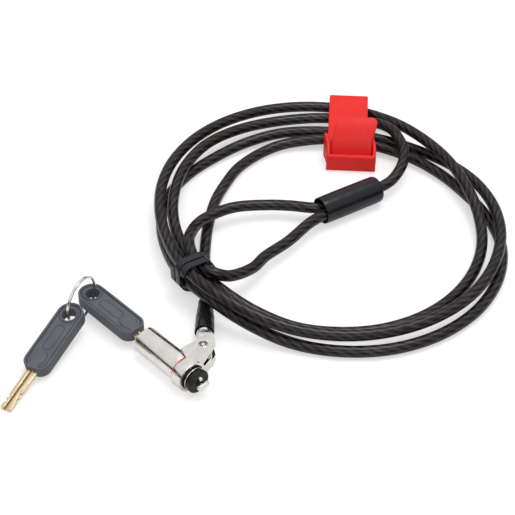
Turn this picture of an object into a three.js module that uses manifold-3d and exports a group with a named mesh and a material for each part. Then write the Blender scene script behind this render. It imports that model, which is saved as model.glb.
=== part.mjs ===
// A laptop cable lock: a T-bar lock head with its key mechanism, a swivelling yoke, a coiled
// steel cable with an eye loop, a strap clip, a tie band, and two keys on a ring.
// Millimetres, +Z up. The work frame has its origin on the floor below the barrel's rear end,
// with +X along the barrel towards the T-bar. The last lines move the origin to the middle of
// the rigid pieces' footprint.
import * as THREE from "three";
import { mergeVertices } from "three/addons/utils/BufferGeometryUtils.js";
import Module from "manifold-3d";

const wasm = await Module();
wasm.setup();

// ---------------------------------------------------------------- driving dimensions

const DEGREE = Math.PI / 180;
const FIT_GAP = 0.3; // clearance between neighbouring pieces
const RUNNING_GAP = 0.2; // clearance of a turning or sliding fit
const CUT_OVER = 1; // how far a cutting tool runs past the face it cuts
const ROUND_SIDES = 40;
const SMALL_SIDES = 20;

// Lock head
const YOKE_HALF_HEIGHT = 6.6;
const AXIS_HEIGHT = YOKE_HALF_HEIGHT; // the yoke's flat lies on the floor
const BARREL_LENGTH = 25;
const BARREL_RADIUS = 6.3;
const BARREL_FLAT_WALL = 1.6; // between the bore and each of the two flats
const BARREL_ROLL = 10 * DEGREE; // how far the flats are turned from level at rest
const BARREL_LIP = 1; // thickness of the inward lip at the rear
const MOUTH_ROOM = 0.6; // round the keyway, in the barrel's rear lip
const DISC_RIM = 0.5; // left of a disc at each end of its keyway
const CARRIER_WALL = 0.45;
const CARRIER_REAR_WALL = 0.8;
const DISC_COUNT = 6;
const DISC_THICKNESS = 1.6;
const DISC_PITCH = 2.4;
const FIRST_DISC_X = 4;
const SIDEBAR_ANGLE = 45 * DEGREE; // from +Y towards +Z
const SIDEBAR_WIDTH = 1;
const SIDEBAR_HEIGHT = 1;
const SIDEBAR_SINK = 0.05; // how far the sidebar lies below the carrier's surface
const GROOVE_DEPTH = 0.8; // the barrel's groove that the sidebar drops into
const CARRIER_FRONT_ROOM = 1.8; // from the last disc to the carrier's front
const HUB_THICKNESS = 1.5;

// T-bar and nose
const SHAFT_RADIUS = 1.25;
const T_HEAD_LENGTH = 6.4;
const T_HEAD_WIDTH = 2.6;
const T_HEAD_THICKNESS = 1.5;
const BOSS_NECK_RADIUS = 4.35;
const RING_RADIUS = 6.55;
const RING_THICKNESS = 0.7;
const COLLAR_RADIUS = 7.4;
const COLLAR_THICKNESS = 5.6;
const COLLAR_RECESS_RADIUS = 6.1;
const COLLAR_RECESS_DEPTH = 1.4;
const BOSS_PROUD = 0.8; // how far the boss stands out of the collar
const SEAL_PROUD = 0.3; // how far the seal in the recess stands out of the collar
const WASHER_RADIUS = 5.5;
const WASHER_THICKNESS = 0.4;
const BUMPER_RADIUS = 5.65;
const BUMPER_THICKNESS = 3.2;
const BUMPER_EDGE = 0.5;
const BUMPER_NECK_RADIUS = 4.7; // behind the bumper's rim
const BUMPER_NECK_LENGTH = 0.9;
const BUMPER_DISH_RADIUS = 3.9; // in the bumper's face, round the T-bar
const BUMPER_DISH_DEPTH = 0.3;
const PEG_RADIUS = 0.9;
const PEG_OFFSET = 3; // from the axis, above and below
const PEG_PROUD = 1.3;
const PEG_DEPTH = 2; // how deep a peg sits in the boss
const T_HEAD_STANDOFF = 1.6; // bumper's face to the back of the T's head

// Yoke arm, hinge pin and ferrule
const PIN_SETBACK = 1.2; // from the collar's rear face back to the pin's axis
const PIN_Y = 12.7;
const PIN_RADIUS = 1.9;
const PIN_INSET = 0.05; // the pin's ends lie this far under the yoke's flats
// Plan of the yoke's arm, as X from the collar's rear face and Y: where it leaves the collar,
// and round its tip.
const ARM_ROOT = [[-6, 4], [-1.1, 2.1]];
const ARM_FRONT_Y = 1;
const ARM_TIP = [[2.2, 14.8], [0.6, 18.2], [-3.5, 20.7], [-5.6, 14.3], [-5, 13.1]];
const POCKET_HALF_HEIGHT = 2.6;
const POCKET_REACH = 13; // how far the pocket runs past the pin, out of the arm
const POCKET_FRONT = [[0, 1.5], [2.8, 9], [2.8, POCKET_REACH]]; // its front wall, from the eye
const SLIT_HALF_HEIGHT = 0.4;
const SLIT_START_Y = 8;
const SLIT_END_Y = 14;
const SLIT_WINDOW_LENGTH = 1.7; // the square window that the slit starts with
const SLIT_WINDOW_HALF_HEIGHT = 1;
const FERRULE_HEADING = 136.6 * DEGREE; // from +X, seen from above
const FERRULE_TILT = 4.5 * DEGREE; // droop towards the floor
const TONGUE_THICKNESS = 3.6;
const TONGUE_EYE_RADIUS = 3;
const TONGUE_NECK_WIDTH = 4.8;
const CRIMP_START = 13; // distances along the ferrule from the pin
const CRIMP_END = 27;
const CRIMP_RADIUS = 3.6;
const SLEEVE_START = 15;
const SLEEVE_END = 36;
const SLEEVE_START_RADIUS = 4.6;
const SLEEVE_CRIMP_RADIUS = 4.25;
const SLEEVE_END_RADIUS = 3.5;

// Keys
const KEY_LENGTH = 39;
const KEY_WIDTH = 12.5;
const KEY_THICKNESS = 6;
const KEY_HOLE_RADIUS = 3.3;
const KEY_HOLE_CHAMFER = 0.8;
const KEY_HOLE_INSET = 7; // from the head's round end
const KEY_SHOULDER_LENGTH = 4.5; // of the rounded shoulders at the blade's end
const KEY_SHOULDER_BULGE = [0.25, 0.1]; // parts of length and width cut off at the curve's knee
const KEY_END_MARGIN = 0.25; // how far the head's end stands out beside the blade
const KEY_RECESS_MARGIN = 1.6;
const KEY_RECESS_DEPTH = 0.5;
const BLADE_LENGTH = 22;
const BLADE_ROOT = 8; // how deep the blade sits in the head
const BLADE_WIDTH = 5.2;
const BLADE_THICKNESS = 1.8;
const BLADE_GROOVE_WIDTH = 1.2;
const BLADE_GROOVE_DEPTH = 0.4;
// The blade's notches: distance from the head, edge, and depth.
const BLADE_NOTCHES = [[12.4, 1, 1.1], [14.8, -1, 0.8], [15.2, 1, 0.7], [17.4, -1, 1.2]];
const KEY_STICKOUT = 5.2; // bare blade between barrel and head when the key is home
const KEY_2_REACH = new THREE.Vector3(5.7, -17.7, 2.7); // from the first key's hole to the second's
const KEY_2_HEADING = -70 * DEGREE;
const KEY_2_TIP_GAP = 0.14; // under the tip of the second key's blade
const KEY_RING_RADIUS = 11; // middle of the section
const KEY_RING_RADIAL = 1;
const KEY_RING_AXIAL = 1.8;
const KEY_RING_OVERREACH = 0.55; // how far past each hole's centre the ring passes

// Cable
const CABLE_RADIUS = 2.75;
const FLOOR_GAP = 0.1;
const CABLE_SIDES = 8;
const COIL_CENTRE = new THREE.Vector2(-4.2, 119.7);
const CLIP_BEARING = 124 * DEGREE; // the coil starts and ends here, and runs clockwise
const COIL_LOOPS = 3;
const STEPS_PER_LOOP = 24;
const COIL_SIDES = 6;
// Radius and height of the strand every 30 degrees, two rows a loop.
const COIL_STATIONS = [
  [63.5, 5], [67.5, 4], [74, 3], [86.5, 3], [92.5, 3], [92, 3],
  [86.5, 3.5], [84.5, 11.5], [80.5, 4.5], [81, 3], [75.5, 3], [73, 4.5],
  [70, 5], [75, 4], [80.5, 7.5], [85.5, 9.5], [87.5, 8.5], [85.5, 7.5],
  [84.5, 10.5], [84.5, 17.5], [80.5, 13], [83, 12.5], [88, 10], [93, 6],
  [91, 5], [77, 11], [73, 11], [77, 4.5], [79, 3], [79, 3],
  [76, 3], [75.5, 10], [74, 9.5], [76.5, 9.5], [81.5, 8.5], [83, 5],
  [82.5, 5],
];
const LEAD_ROUTE = [
  [5, 31.5, 4.5], [-1, 37.2, 4], [-6.5, 42.2, 4], [-11, 46.2, 4], [-17, 51.3, 4],
  [-24, 57.3, 3.2], [-32, 65, 2.9], [-40, 73.5, 2.9], [-47, 82, 2.9], [-54, 92, 2.9], [-59.5, 103, 2.9],
  [-64.5, 116, 2.9], [-66, 127.5, 2.9], [-65.5, 137.5, 3], [-63, 146.5, 3.5],
  [-57.5, 155.5, 4.3], [-50, 164.5, 5], [-45, 168.8, 5], [-40, 172.2, 5],
];
const TAIL_ROUTE = [
  [-50, 188.3, 5], [-46.7, 190.5, 5], [-41, 192.3, 6.5], [-34, 192, 9], [-24.5, 190, 11.5],
  [-17.5, 187, 11.5],
  [-10.5, 183, 11], [-5, 177, 10], [-1.5, 170, 9], [0, 162.5, 7.5], [-0.5, 155.5, 7],
  [-1.5, 150.7, 7],
];
const EYE_ROUTE = [
  [-9.5, 128.3, 7], [-11, 121, 7], [-21, 112.5, 7], [-28.5, 105.5, 7], [-38.5, 89.5, 8.5],
  [-41.5, 74.5, 9], [-40, 67, 10], [-36, 60, 12], [-29.5, 52.5, 15.2], [-23, 48, 16],
  [-15.5, 44.5, 16.2], [-9, 44, 16.2], [-3, 45.5, 16], [0.5, 50.5, 13.5], [1, 65, 9.5],
  [-2, 76.5, 8], [-3, 92.5, 7], [-5.5, 110.5, 7], [-5, 119.5, 7], [-3.6, 127.1, 7],
];
const LEAD_STEPS = 18;
const TAIL_STEPS = 14;
const EYE_STEPS = 30;

// Eye sleeve and crimp
const EYE_SLEEVE_START = new THREE.Vector3(-8.1, 120.3, 7);
const EYE_SLEEVE_HEADING = 77.8 * DEGREE;
const EYE_SLEEVE_LENGTH = 33.7;
const EYE_SLEEVE_RADIUS = 6.9;
const EYE_SLEEVE_WALL = 0.6;
const EYE_SLEEVE_END_WALL = 2.7;
const EYE_SLEEVE_EDGE = 0.6;
const EYE_CRIMP_START = 8;

// Strap clip: its own frame has X across the strap, Y along it and away from the buckle's front
const STRAP_ORIGIN = new THREE.Vector3(-35.3, 151.7, 0);
const STRAP_HEADING = 42.7 * DEGREE;
const BUCKLE_WIDTH = 25.4;
const BUCKLE_FRONT_Y = -1;
const BUCKLE_REAR_Y = 12.6;
const BUCKLE_FRONT_HEIGHT = 9.8;
const BUCKLE_REAR_HEIGHT = 15.6;
const BUCKLE_WALL = 1.7;
const BUCKLE_FLOOR = 1.2;
const BUCKLE_EDGE = 0.8;
const BUCKLE_REAR_EDGE = 1.5;
const CLIP_LEAN_START = 5; // Y from which the soft clip leans to the left
const CLIP_LEAN_SLOPE = 0.25;
const CLIP_LEAN_MOST = 2.2;
const STRAP_WIDTH = 20.6;
const STRAP_THICKNESS = 1.7;
const STRAP_BACK = 54.4; // back face of the strap's bend
const STRAP_INNER_HEIGHT = 9.6; // underside of the upper run
const STRAP_FLOOR_GAP = 0.1;
const STRAP_BEND_STEPS = 8;
// Middle line of the strap's front end, as Y and height: over the strands' edge and down into
// the buckle.
const STRAP_FRONT_RUN = [
  [20, 10.45], [15.5, 10.15], [12.2, 8.65], [9.8, 5.85], [7.6, 3.6], [5.6, 2.7], [3.8, 3.6],
];
// The pull tongue that the strap ends in, as Y, height and shift to the right.
const STRAP_TONGUE = [
  [3.2, 6, 0], [3.7, 9, 0], [4.8, 12, 0.05], [6.8, 15.2, 0.35], [10.6, 19, 1.6],
  [16, 22.4, 2.6],
];

// Tie band
const BAND_BEARING = -97 * DEGREE;
// The strands inside the band, as radius and height where each touches its outline.
const BAND_STRANDS = [
  [68.8, 4], [76.8, 4], [74.6, 10], [75, 16.3], [84, 17.2], [82.6, 15.3], [83.9, 10.2],
  [82.7, 8.1],
];
const BAND_CLEARANCE = 0.35;
const BAND_WIDTH = 3.6;
const BAND_THICKNESS = 0.8;
const BAND_PITCH = 4.2;
const BAND_TURNS = 2;
const BAND_STEPS = 32; // a turn

// ---------------------------------------------------------------- colours

const nickel = { color: 0xd8d4cc, roughness: 0.22, metalness: 1 };
const darkSteel = { color: 0x8c8c8e, roughness: 0.35, metalness: 1 };
const brass = { color: 0xc9a25c, roughness: 0.3, metalness: 1 };
const rubber = { color: 0x17171a, roughness: 0.65, metalness: 0 };
const sleeveBlack = { color: 0x15161a, roughness: 0.28, metalness: 0 };
const cableBlack = { color: 0x211f1e, roughness: 0.3, metalness: 0 };
const silicone = { color: 0xe8332b, roughness: 0.55, metalness: 0 };
const keySlate = { color: 0x5b606b, roughness: 0.6, metalness: 0 };
const aluminium = { color: 0xb9bbbd, roughness: 0.4, metalness: 1 };

// ---------------------------------------------------------------- tools

// A closed geometry as a solid, with its shared vertices merged.
function solid(geometry) {
  const bare = new THREE.BufferGeometry();
  const loose = geometry.index ? geometry.toNonIndexed() : geometry;
  bare.setAttribute("position", loose.getAttribute("position"));
  const merged = mergeVertices(bare, 1e-4);
  const triangles = [];
  const index = merged.index.array;
  for (let i = 0; i < index.length; i += 3) {
    const [a, b, c] = [index[i], index[i + 1], index[i + 2]];
    if (a !== b && b !== c && c !== a) triangles.push(a, b, c);
  }
  return new wasm.Manifold(
    new wasm.Mesh({
      numProp: 3,
      vertProperties: merged.attributes.position.array,
      triVerts: new Uint32Array(triangles),
    }),
  );
}

function geometryOf(body) {
  const mesh = body.getMesh();
  const geometry = new THREE.BufferGeometry();
  geometry.setAttribute("position", new THREE.BufferAttribute(mesh.vertProperties, 3));
  geometry.setIndex(new THREE.BufferAttribute(mesh.triVerts, 1));
  geometry.computeVertexNormals();
  return geometry;
}

function cut(body, ...tools) {
  return tools.reduce((rest, tool) => rest.subtract(tool), body);
}

function join(body, ...others) {
  return others.reduce((whole, other) => whole.add(other), body);
}

// A profile of [x, radius] turned about the X axis.
function turned(profile, sides = ROUND_SIDES) {
  const points = profile.map(([x, radius]) => new THREE.Vector2(radius, x));
  return new THREE.LatheGeometry(points, sides).rotateZ(-Math.PI / 2);
}

function rodX(radius, x0, x1, y = 0, z = 0, sides = ROUND_SIDES) {
  const profile = [[x0, 0], [x0, radius], [x1, radius], [x1, 0]];
  return turned(profile, sides).translate(0, y, z);
}

function rodZ(radius, z0, z1, x = 0, y = 0, sides = ROUND_SIDES) {
  const rod = new THREE.CylinderGeometry(radius, radius, z1 - z0, sides);
  return rod.rotateX(Math.PI / 2).translate(x, y, (z0 + z1) / 2);
}

function tubeX(outer, inner, x0, x1, sides = ROUND_SIDES) {
  return turned([[x0, inner], [x0, outer], [x1, outer], [x1, inner], [x0, inner]], sides);
}

function box(x0, x1, y0, y1, z0, z1) {
  const block = new THREE.BoxGeometry(x1 - x0, y1 - y0, z1 - z0);
  return block.translate((x0 + x1) / 2, (y0 + y1) / 2, (z0 + z1) / 2);
}

// A flat outline in X and Y, raised from z0 to z1.
function raised(shape, z0, z1, curveSegments = 10) {
  const depth = z1 - z0;
  const options = { depth, bevelEnabled: false, curveSegments };
  return new THREE.ExtrudeGeometry(shape, options).translate(0, 0, z0);
}

function outline(points) {
  return new THREE.Shape(points.map(([x, y]) => new THREE.Vector2(x, y)));
}

// Turns a raised outline so that its X, Y and height become Y, Z and X.
function stoodUp(geometry) {
  return geometry.applyMatrix4(new THREE.Matrix4().set(0, 0, 1, 0, 1, 0, 0, 0, 0, 1, 0, 0, 0, 0, 0, 1));
}

// A rectangle with rounded corners.
function roundedRectangle(x0, x1, y0, y1, radius) {
  const shape = new THREE.Shape();
  shape.moveTo(x0 + radius, y0);
  shape.lineTo(x1 - radius, y0);
  shape.absarc(x1 - radius, y0 + radius, radius, -Math.PI / 2, 0);
  shape.lineTo(x1, y1 - radius);
  shape.absarc(x1 - radius, y1 - radius, radius, 0, Math.PI / 2);
  shape.lineTo(x0 + radius, y1);
  shape.absarc(x0 + radius, y1 - radius, radius, Math.PI / 2, Math.PI);
  shape.lineTo(x0, y0 + radius);
  shape.absarc(x0 + radius, y0 + radius, radius, Math.PI, 1.5 * Math.PI);
  return shape;
}

// A round tube along a smooth route of points.
function cableAlong(route, steps) {
  const curve = new THREE.CatmullRomCurve3(route.map((point) => new THREE.Vector3(...point)));
  const section = new THREE.Shape();
  for (let i = 0; i < CABLE_SIDES; i += 1) {
    const angle = (i / CABLE_SIDES) * 2 * Math.PI;
    const [x, y] = [CABLE_RADIUS * Math.cos(angle), CABLE_RADIUS * Math.sin(angle)];
    if (i === 0) section.moveTo(x, y);
    else section.lineTo(x, y);
  }
  const options = { steps, bevelEnabled: false, extrudePath: curve };
  return new THREE.ExtrudeGeometry(section, options);
}

// One closed skin over rings of points, each ring with as many points as the next.
function skinned(rings) {
  const sides = rings[0].length;
  const positions = [];
  const triangle = (a, b, c) => positions.push(...a.toArray(), ...b.toArray(), ...c.toArray());
  for (let i = 0; i + 1 < rings.length; i += 1) {
    for (let j = 0; j < sides; j += 1) {
      const k = (j + 1) % sides;
      triangle(rings[i][j], rings[i][k], rings[i + 1][k]);
      triangle(rings[i][j], rings[i + 1][k], rings[i + 1][j]);
    }
  }
  const last = rings[rings.length - 1];
  for (let j = 1; j + 1 < sides; j += 1) {
    triangle(rings[0][0], rings[0][j + 1], rings[0][j]);
    triangle(last[0], last[j], last[j + 1]);
  }
  const geometry = new THREE.BufferGeometry();
  geometry.setAttribute("position", new THREE.Float32BufferAttribute(positions, 3));
  return mergeVertices(geometry);
}

const root = new THREE.Group();
root.name = "laptop_cable_lock";

function add(parent, name, shape, finish) {
  const geometry = shape.isBufferGeometry ? shape : geometryOf(shape);
  const mesh = new THREE.Mesh(geometry, new THREE.MeshStandardMaterial(finish));
  mesh.name = name;
  parent.add(mesh);
  return mesh;
}

// ---------------------------------------------------------------- lock head

// How wide each piece is about the barrel's axis, and where it begins and ends along it.
const SLOT_HALF_WIDTH = BLADE_WIDTH / 2 + RUNNING_GAP;
const SLOT_HALF_HEIGHT = BLADE_THICKNESS / 2 + RUNNING_GAP;
const DISC_RADIUS = SLOT_HALF_WIDTH + DISC_RIM;
const CARRIER_RADIUS = DISC_RADIUS + RUNNING_GAP + CARRIER_WALL;
const BORE_RADIUS = CARRIER_RADIUS + RUNNING_GAP;
const MOUTH_RADIUS = SLOT_HALF_WIDTH + MOUTH_ROOM;
const BARREL_FLAT = BORE_RADIUS + BARREL_FLAT_WALL; // from the axis
const SIDEBAR_OUTER = CARRIER_RADIUS - SIDEBAR_SINK;
const SIDEBAR_INNER = SIDEBAR_OUTER - SIDEBAR_HEIGHT;
const CARRIER_START = BARREL_LIP + RUNNING_GAP;
const DISCS_END = FIRST_DISC_X + (DISC_COUNT - 1) * DISC_PITCH + DISC_THICKNESS;
const CARRIER_END = DISCS_END + CARRIER_FRONT_ROOM;
const HUB_START = CARRIER_END + FIT_GAP;
const HUB_END = HUB_START + HUB_THICKNESS;
const BOSS_START = HUB_END + FIT_GAP;
const RING_START = BARREL_LENGTH + RUNNING_GAP;
const COLLAR_START = RING_START + RING_THICKNESS + FIT_GAP;
const COLLAR_END = COLLAR_START + COLLAR_THICKNESS;
const BOSS_END = COLLAR_END + BOSS_PROUD;
const WASHER_START = BOSS_END + RUNNING_GAP;
const BUMPER_START = WASHER_START + WASHER_THICKNESS + RUNNING_GAP;
const BUMPER_END = BUMPER_START + BUMPER_THICKNESS;
const T_HEAD_START = BUMPER_END + T_HEAD_STANDOFF;
const PIN_X = COLLAR_START - PIN_SETBACK;

const head = new THREE.Group();
head.position.z = AXIS_HEIGHT;
root.add(head);

function pegTools(radius, x0, x1) {
  return [-1, 1].map((side) => solid(rodX(radius, x0, x1, 0, side * PEG_OFFSET, SMALL_SIDES)));
}

function sidebarBox(halfWidth, inner, outer, x0, x1) {
  return solid(box(x0, x1, inner, outer, -halfWidth, halfWidth).rotateX(SIDEBAR_ANGLE));
}

function buildBarrel() {
  const big = BARREL_RADIUS + CUT_OVER;
  const body = solid(rodX(BARREL_RADIUS, 0, BARREL_LENGTH));
  const mouth = solid(rodX(MOUTH_RADIUS, -CUT_OVER, BARREL_LENGTH));
  const bore = solid(rodX(BORE_RADIUS, BARREL_LIP, BARREL_LENGTH + CUT_OVER));
  const flats = [-1, 1].map((side) => {
    const [near, far] = [side * BARREL_FLAT, side * big];
    const slab = box(-CUT_OVER, BARREL_LENGTH + CUT_OVER, -big, big,
      Math.min(near, far), Math.max(near, far));
    return solid(slab.rotateX(BARREL_ROLL));
  });
  const groove = sidebarBox(SIDEBAR_WIDTH / 2 + RUNNING_GAP, SIDEBAR_OUTER - RUNNING_GAP,
    SIDEBAR_OUTER + GROOVE_DEPTH, FIRST_DISC_X, DISCS_END);
  add(head, "lock_barrel", cut(body, mouth, bore, groove, ...flats), nickel);
}

function buildPlug() {
  const inner = DISC_RADIUS + RUNNING_GAP;
  const shell = solid(rodX(CARRIER_RADIUS, CARRIER_START, CARRIER_END));
  const chamber = solid(rodX(inner, CARRIER_START + CARRIER_REAR_WALL, CARRIER_END + CUT_OVER));
  const keyway = solid(box(0, CARRIER_END, -SLOT_HALF_WIDTH, SLOT_HALF_WIDTH,
    -SLOT_HALF_HEIGHT, SLOT_HALF_HEIGHT));
  const window = sidebarBox(SIDEBAR_WIDTH / 2 + RUNNING_GAP, SIDEBAR_INNER, BORE_RADIUS,
    FIRST_DISC_X - FIT_GAP, DISCS_END + FIT_GAP);
  const gate = sidebarBox(SIDEBAR_WIDTH / 2 + RUNNING_GAP, SIDEBAR_INNER - RUNNING_GAP,
    BORE_RADIUS, FIRST_DISC_X - CUT_OVER, DISCS_END + CUT_OVER);
  add(head, "plug_carrier", cut(shell, chamber, keyway, window), darkSteel);
  for (let i = 0; i < DISC_COUNT; i += 1) {
    const start = FIRST_DISC_X + i * DISC_PITCH;
    const disc = solid(rodX(DISC_RADIUS, start, start + DISC_THICKNESS));
    add(head, `disc_${i + 1}`, cut(disc, keyway, gate), brass);
  }
  const bar = sidebarBox(SIDEBAR_WIDTH / 2, SIDEBAR_INNER, SIDEBAR_OUTER, FIRST_DISC_X, DISCS_END);
  add(head, "sidebar", bar, darkSteel);
  add(head, "spindle_hub", cut(
    solid(rodX(CARRIER_RADIUS - CARRIER_WALL / 2, HUB_START, HUB_END)),
    solid(rodX(SHAFT_RADIUS + RUNNING_GAP, HUB_START - CUT_OVER, HUB_END + CUT_OVER, 0, 0,
      SMALL_SIDES)),
  ), darkSteel);
  const shaft = solid(rodX(SHAFT_RADIUS, HUB_START + FIT_GAP, T_HEAD_START + FIT_GAP, 0, 0,
    SMALL_SIDES));
  const halfLength = T_HEAD_LENGTH / 2;
  const halfWidth = T_HEAD_WIDTH / 2;
  const cornerRadius = halfWidth * 0.98;
  const plan = roundedRectangle(-halfWidth, halfWidth, -halfLength, halfLength, cornerRadius);
  const headBar = raised(plan, T_HEAD_START, T_HEAD_START + T_HEAD_THICKNESS, 6);
  add(head, "t_bar", join(shaft, solid(headBar.rotateY(Math.PI / 2))), nickel);
}

function buildNose() {
  const hole = SHAFT_RADIUS + RUNNING_GAP;
  const pegHole = PEG_RADIUS + RUNNING_GAP;
  const boss = solid(turned([
    [BOSS_START, hole], [BOSS_START, CARRIER_RADIUS], [RING_START, CARRIER_RADIUS],
    [RING_START, BOSS_NECK_RADIUS], [BOSS_END, BOSS_NECK_RADIUS], [BOSS_END, hole],
    [BOSS_START, hole],
  ]));
  const pegStart = BOSS_END - PEG_DEPTH;
  const sockets = pegTools(pegHole, pegStart - FIT_GAP, BOSS_END + CUT_OVER);
  add(head, "nose_boss", cut(boss, ...sockets), nickel);
  add(head, "red_ring", tubeX(RING_RADIUS, BOSS_NECK_RADIUS + FIT_GAP, RING_START,
    RING_START + RING_THICKNESS), silicone);
  add(head, "nose_seal", tubeX(COLLAR_RECESS_RADIUS - FIT_GAP, BOSS_NECK_RADIUS + FIT_GAP,
    COLLAR_END - COLLAR_RECESS_DEPTH + FIT_GAP, COLLAR_END + SEAL_PROUD), rubber);
  const washer = solid(tubeX(WASHER_RADIUS, hole, WASHER_START, WASHER_START + WASHER_THICKNESS));
  const washerHoles = pegTools(pegHole, BOSS_END, BUMPER_START);
  add(head, "nose_washer", cut(washer, ...washerHoles), nickel);
  const rimStart = BUMPER_START + BUMPER_NECK_LENGTH;
  const dishFloor = BUMPER_END - BUMPER_DISH_DEPTH;
  const bumper = solid(turned([
    [BUMPER_START, hole], [BUMPER_START, BUMPER_NECK_RADIUS], [rimStart, BUMPER_NECK_RADIUS],
    [rimStart, BUMPER_RADIUS], [BUMPER_END - BUMPER_EDGE, BUMPER_RADIUS],
    [BUMPER_END, BUMPER_RADIUS - BUMPER_EDGE], [BUMPER_END, BUMPER_DISH_RADIUS],
    [dishFloor, BUMPER_DISH_RADIUS], [dishFloor, hole], [BUMPER_START, hole],
  ]));
  const bumperHoles = pegTools(pegHole, WASHER_START, BUMPER_END + CUT_OVER);
  add(head, "rubber_bumper", cut(bumper, ...bumperHoles), rubber);
  [["upper", 1], ["lower", -1]].forEach(([name, side]) => {
    const peg = rodX(PEG_RADIUS, pegStart, BUMPER_END + PEG_PROUD, 0, side * PEG_OFFSET,
      SMALL_SIDES);
    add(head, `twist_peg_${name}`, peg, nickel);
  });
}

// The yoke is a collar round the boss, with a forked arm that carries the hinge pin.
function buildYoke() {
  const half = YOKE_HALF_HEIGHT;
  const fromCollar = ([x, y]) => [COLLAR_START + x, y];
  const plan = [
    ...ARM_ROOT.map(fromCollar), [COLLAR_END, ARM_FRONT_Y], ...ARM_TIP.map(fromCollar),
  ];
  const arm = solid(raised(outline(plan), -half, half));
  const collar = solid(rodX(COLLAR_RADIUS, COLLAR_START, COLLAR_END));
  const slab = solid(box(0, COLLAR_END + CUT_OVER, -COLLAR_RADIUS, PIN_Y + POCKET_REACH,
    -half, half));
  const barrelRoom = solid(rodX(RING_RADIUS + FIT_GAP, 0, COLLAR_START));
  const bore = solid(rodX(BOSS_NECK_RADIUS + FIT_GAP, 0, COLLAR_END + CUT_OVER));
  const recess = solid(rodX(COLLAR_RECESS_RADIUS, COLLAR_END - COLLAR_RECESS_DEPTH,
    COLLAR_END + CUT_OVER));
  const pinHole = solid(rodZ(PIN_RADIUS + RUNNING_GAP, -half - CUT_OVER, half + CUT_OVER,
    PIN_X, PIN_Y));
  const eyeRoom = TONGUE_EYE_RADIUS + RUNNING_GAP;
  const pocketEye = solid(rodZ(eyeRoom, -POCKET_HALF_HEIGHT, POCKET_HALF_HEIGHT, PIN_X, PIN_Y));
  const pocket = solid(raised(outline([
    [PIN_X - POCKET_REACH, PIN_Y - eyeRoom], [PIN_X, PIN_Y - eyeRoom], [PIN_X + eyeRoom, PIN_Y],
    ...POCKET_FRONT.map(([x, y]) => [PIN_X + eyeRoom + x, PIN_Y + y]),
    [PIN_X - POCKET_REACH, PIN_Y + POCKET_REACH],
  ]), -POCKET_HALF_HEIGHT, POCKET_HALF_HEIGHT));
  const slit = solid(box(PIN_X, COLLAR_END + CUT_OVER, SLIT_START_Y, SLIT_END_Y,
    -SLIT_HALF_HEIGHT, SLIT_HALF_HEIGHT));
  const slitWindow = solid(box(PIN_X, COLLAR_END + CUT_OVER, SLIT_START_Y,
    SLIT_START_Y + SLIT_WINDOW_LENGTH, -SLIT_WINDOW_HALF_HEIGHT, SLIT_WINDOW_HALF_HEIGHT));
  const blank = join(collar, arm).intersect(slab);
  const body = cut(blank, barrelRoom, bore, recess, pinHole, pocket, pocketEye, slit,
    slitWindow);
  add(head, "yoke", body, nickel);
  add(head, "hinge_pin", rodZ(PIN_RADIUS, -half + PIN_INSET, half - PIN_INSET, PIN_X, PIN_Y),
    nickel);
}

// The ferrule and its sleeve lie along +X of a group that starts at the hinge pin.
function buildFerrule() {
  const ferrule = new THREE.Group();
  ferrule.position.set(PIN_X, PIN_Y, 0);
  ferrule.rotation.set(0, FERRULE_TILT, FERRULE_HEADING, "ZYX");
  head.add(ferrule);
  const half = TONGUE_THICKNESS / 2;
  const neck = TONGUE_NECK_WIDTH / 2;
  const eye = solid(rodZ(TONGUE_EYE_RADIUS, -half, half));
  const bar = solid(box(0, CRIMP_START + CUT_OVER, -neck, neck, -half, half));
  const crimp = solid(rodX(CRIMP_RADIUS, CRIMP_START, CRIMP_END));
  const hole = solid(rodZ(PIN_RADIUS + FIT_GAP, -half - CUT_OVER, half + CUT_OVER));
  add(ferrule, "cable_ferrule", cut(join(eye, bar, crimp), hole), nickel);
  const cableBore = CABLE_RADIUS + FIT_GAP;
  const crimpBore = CRIMP_RADIUS + FIT_GAP;
  add(ferrule, "ferrule_sleeve", turned([
    [SLEEVE_START, crimpBore], [SLEEVE_START, SLEEVE_START_RADIUS],
    [CRIMP_END, SLEEVE_CRIMP_RADIUS], [SLEEVE_END, SLEEVE_END_RADIUS], [SLEEVE_END, cableBore],
    [CRIMP_END + CUT_OVER, cableBore], [CRIMP_END, crimpBore], [SLEEVE_START, crimpBore],
  ], 32), sleeveBlack);
}

// ---------------------------------------------------------------- keys

const KEY_HOLE_X = KEY_LENGTH - KEY_HOLE_INSET; // from the blade end of the head
const KEY_SHOULDER_WIDTH = (KEY_WIDTH - BLADE_WIDTH) / 2 - KEY_END_MARGIN;
const KEY_1_HOLE = new THREE.Vector3(-KEY_STICKOUT - KEY_HOLE_X, 0, AXIS_HEIGHT);
const KEY_2_HOLE = new THREE.Vector3().addVectors(KEY_1_HOLE, KEY_2_REACH);
// The second key leans on the floor with its blade's tip.
const KEY_2_SLOPE = Math.asin(
  (KEY_2_HOLE.z - BLADE_THICKNESS / 2 - KEY_2_TIP_GAP) / (KEY_HOLE_X + BLADE_LENGTH));

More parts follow.
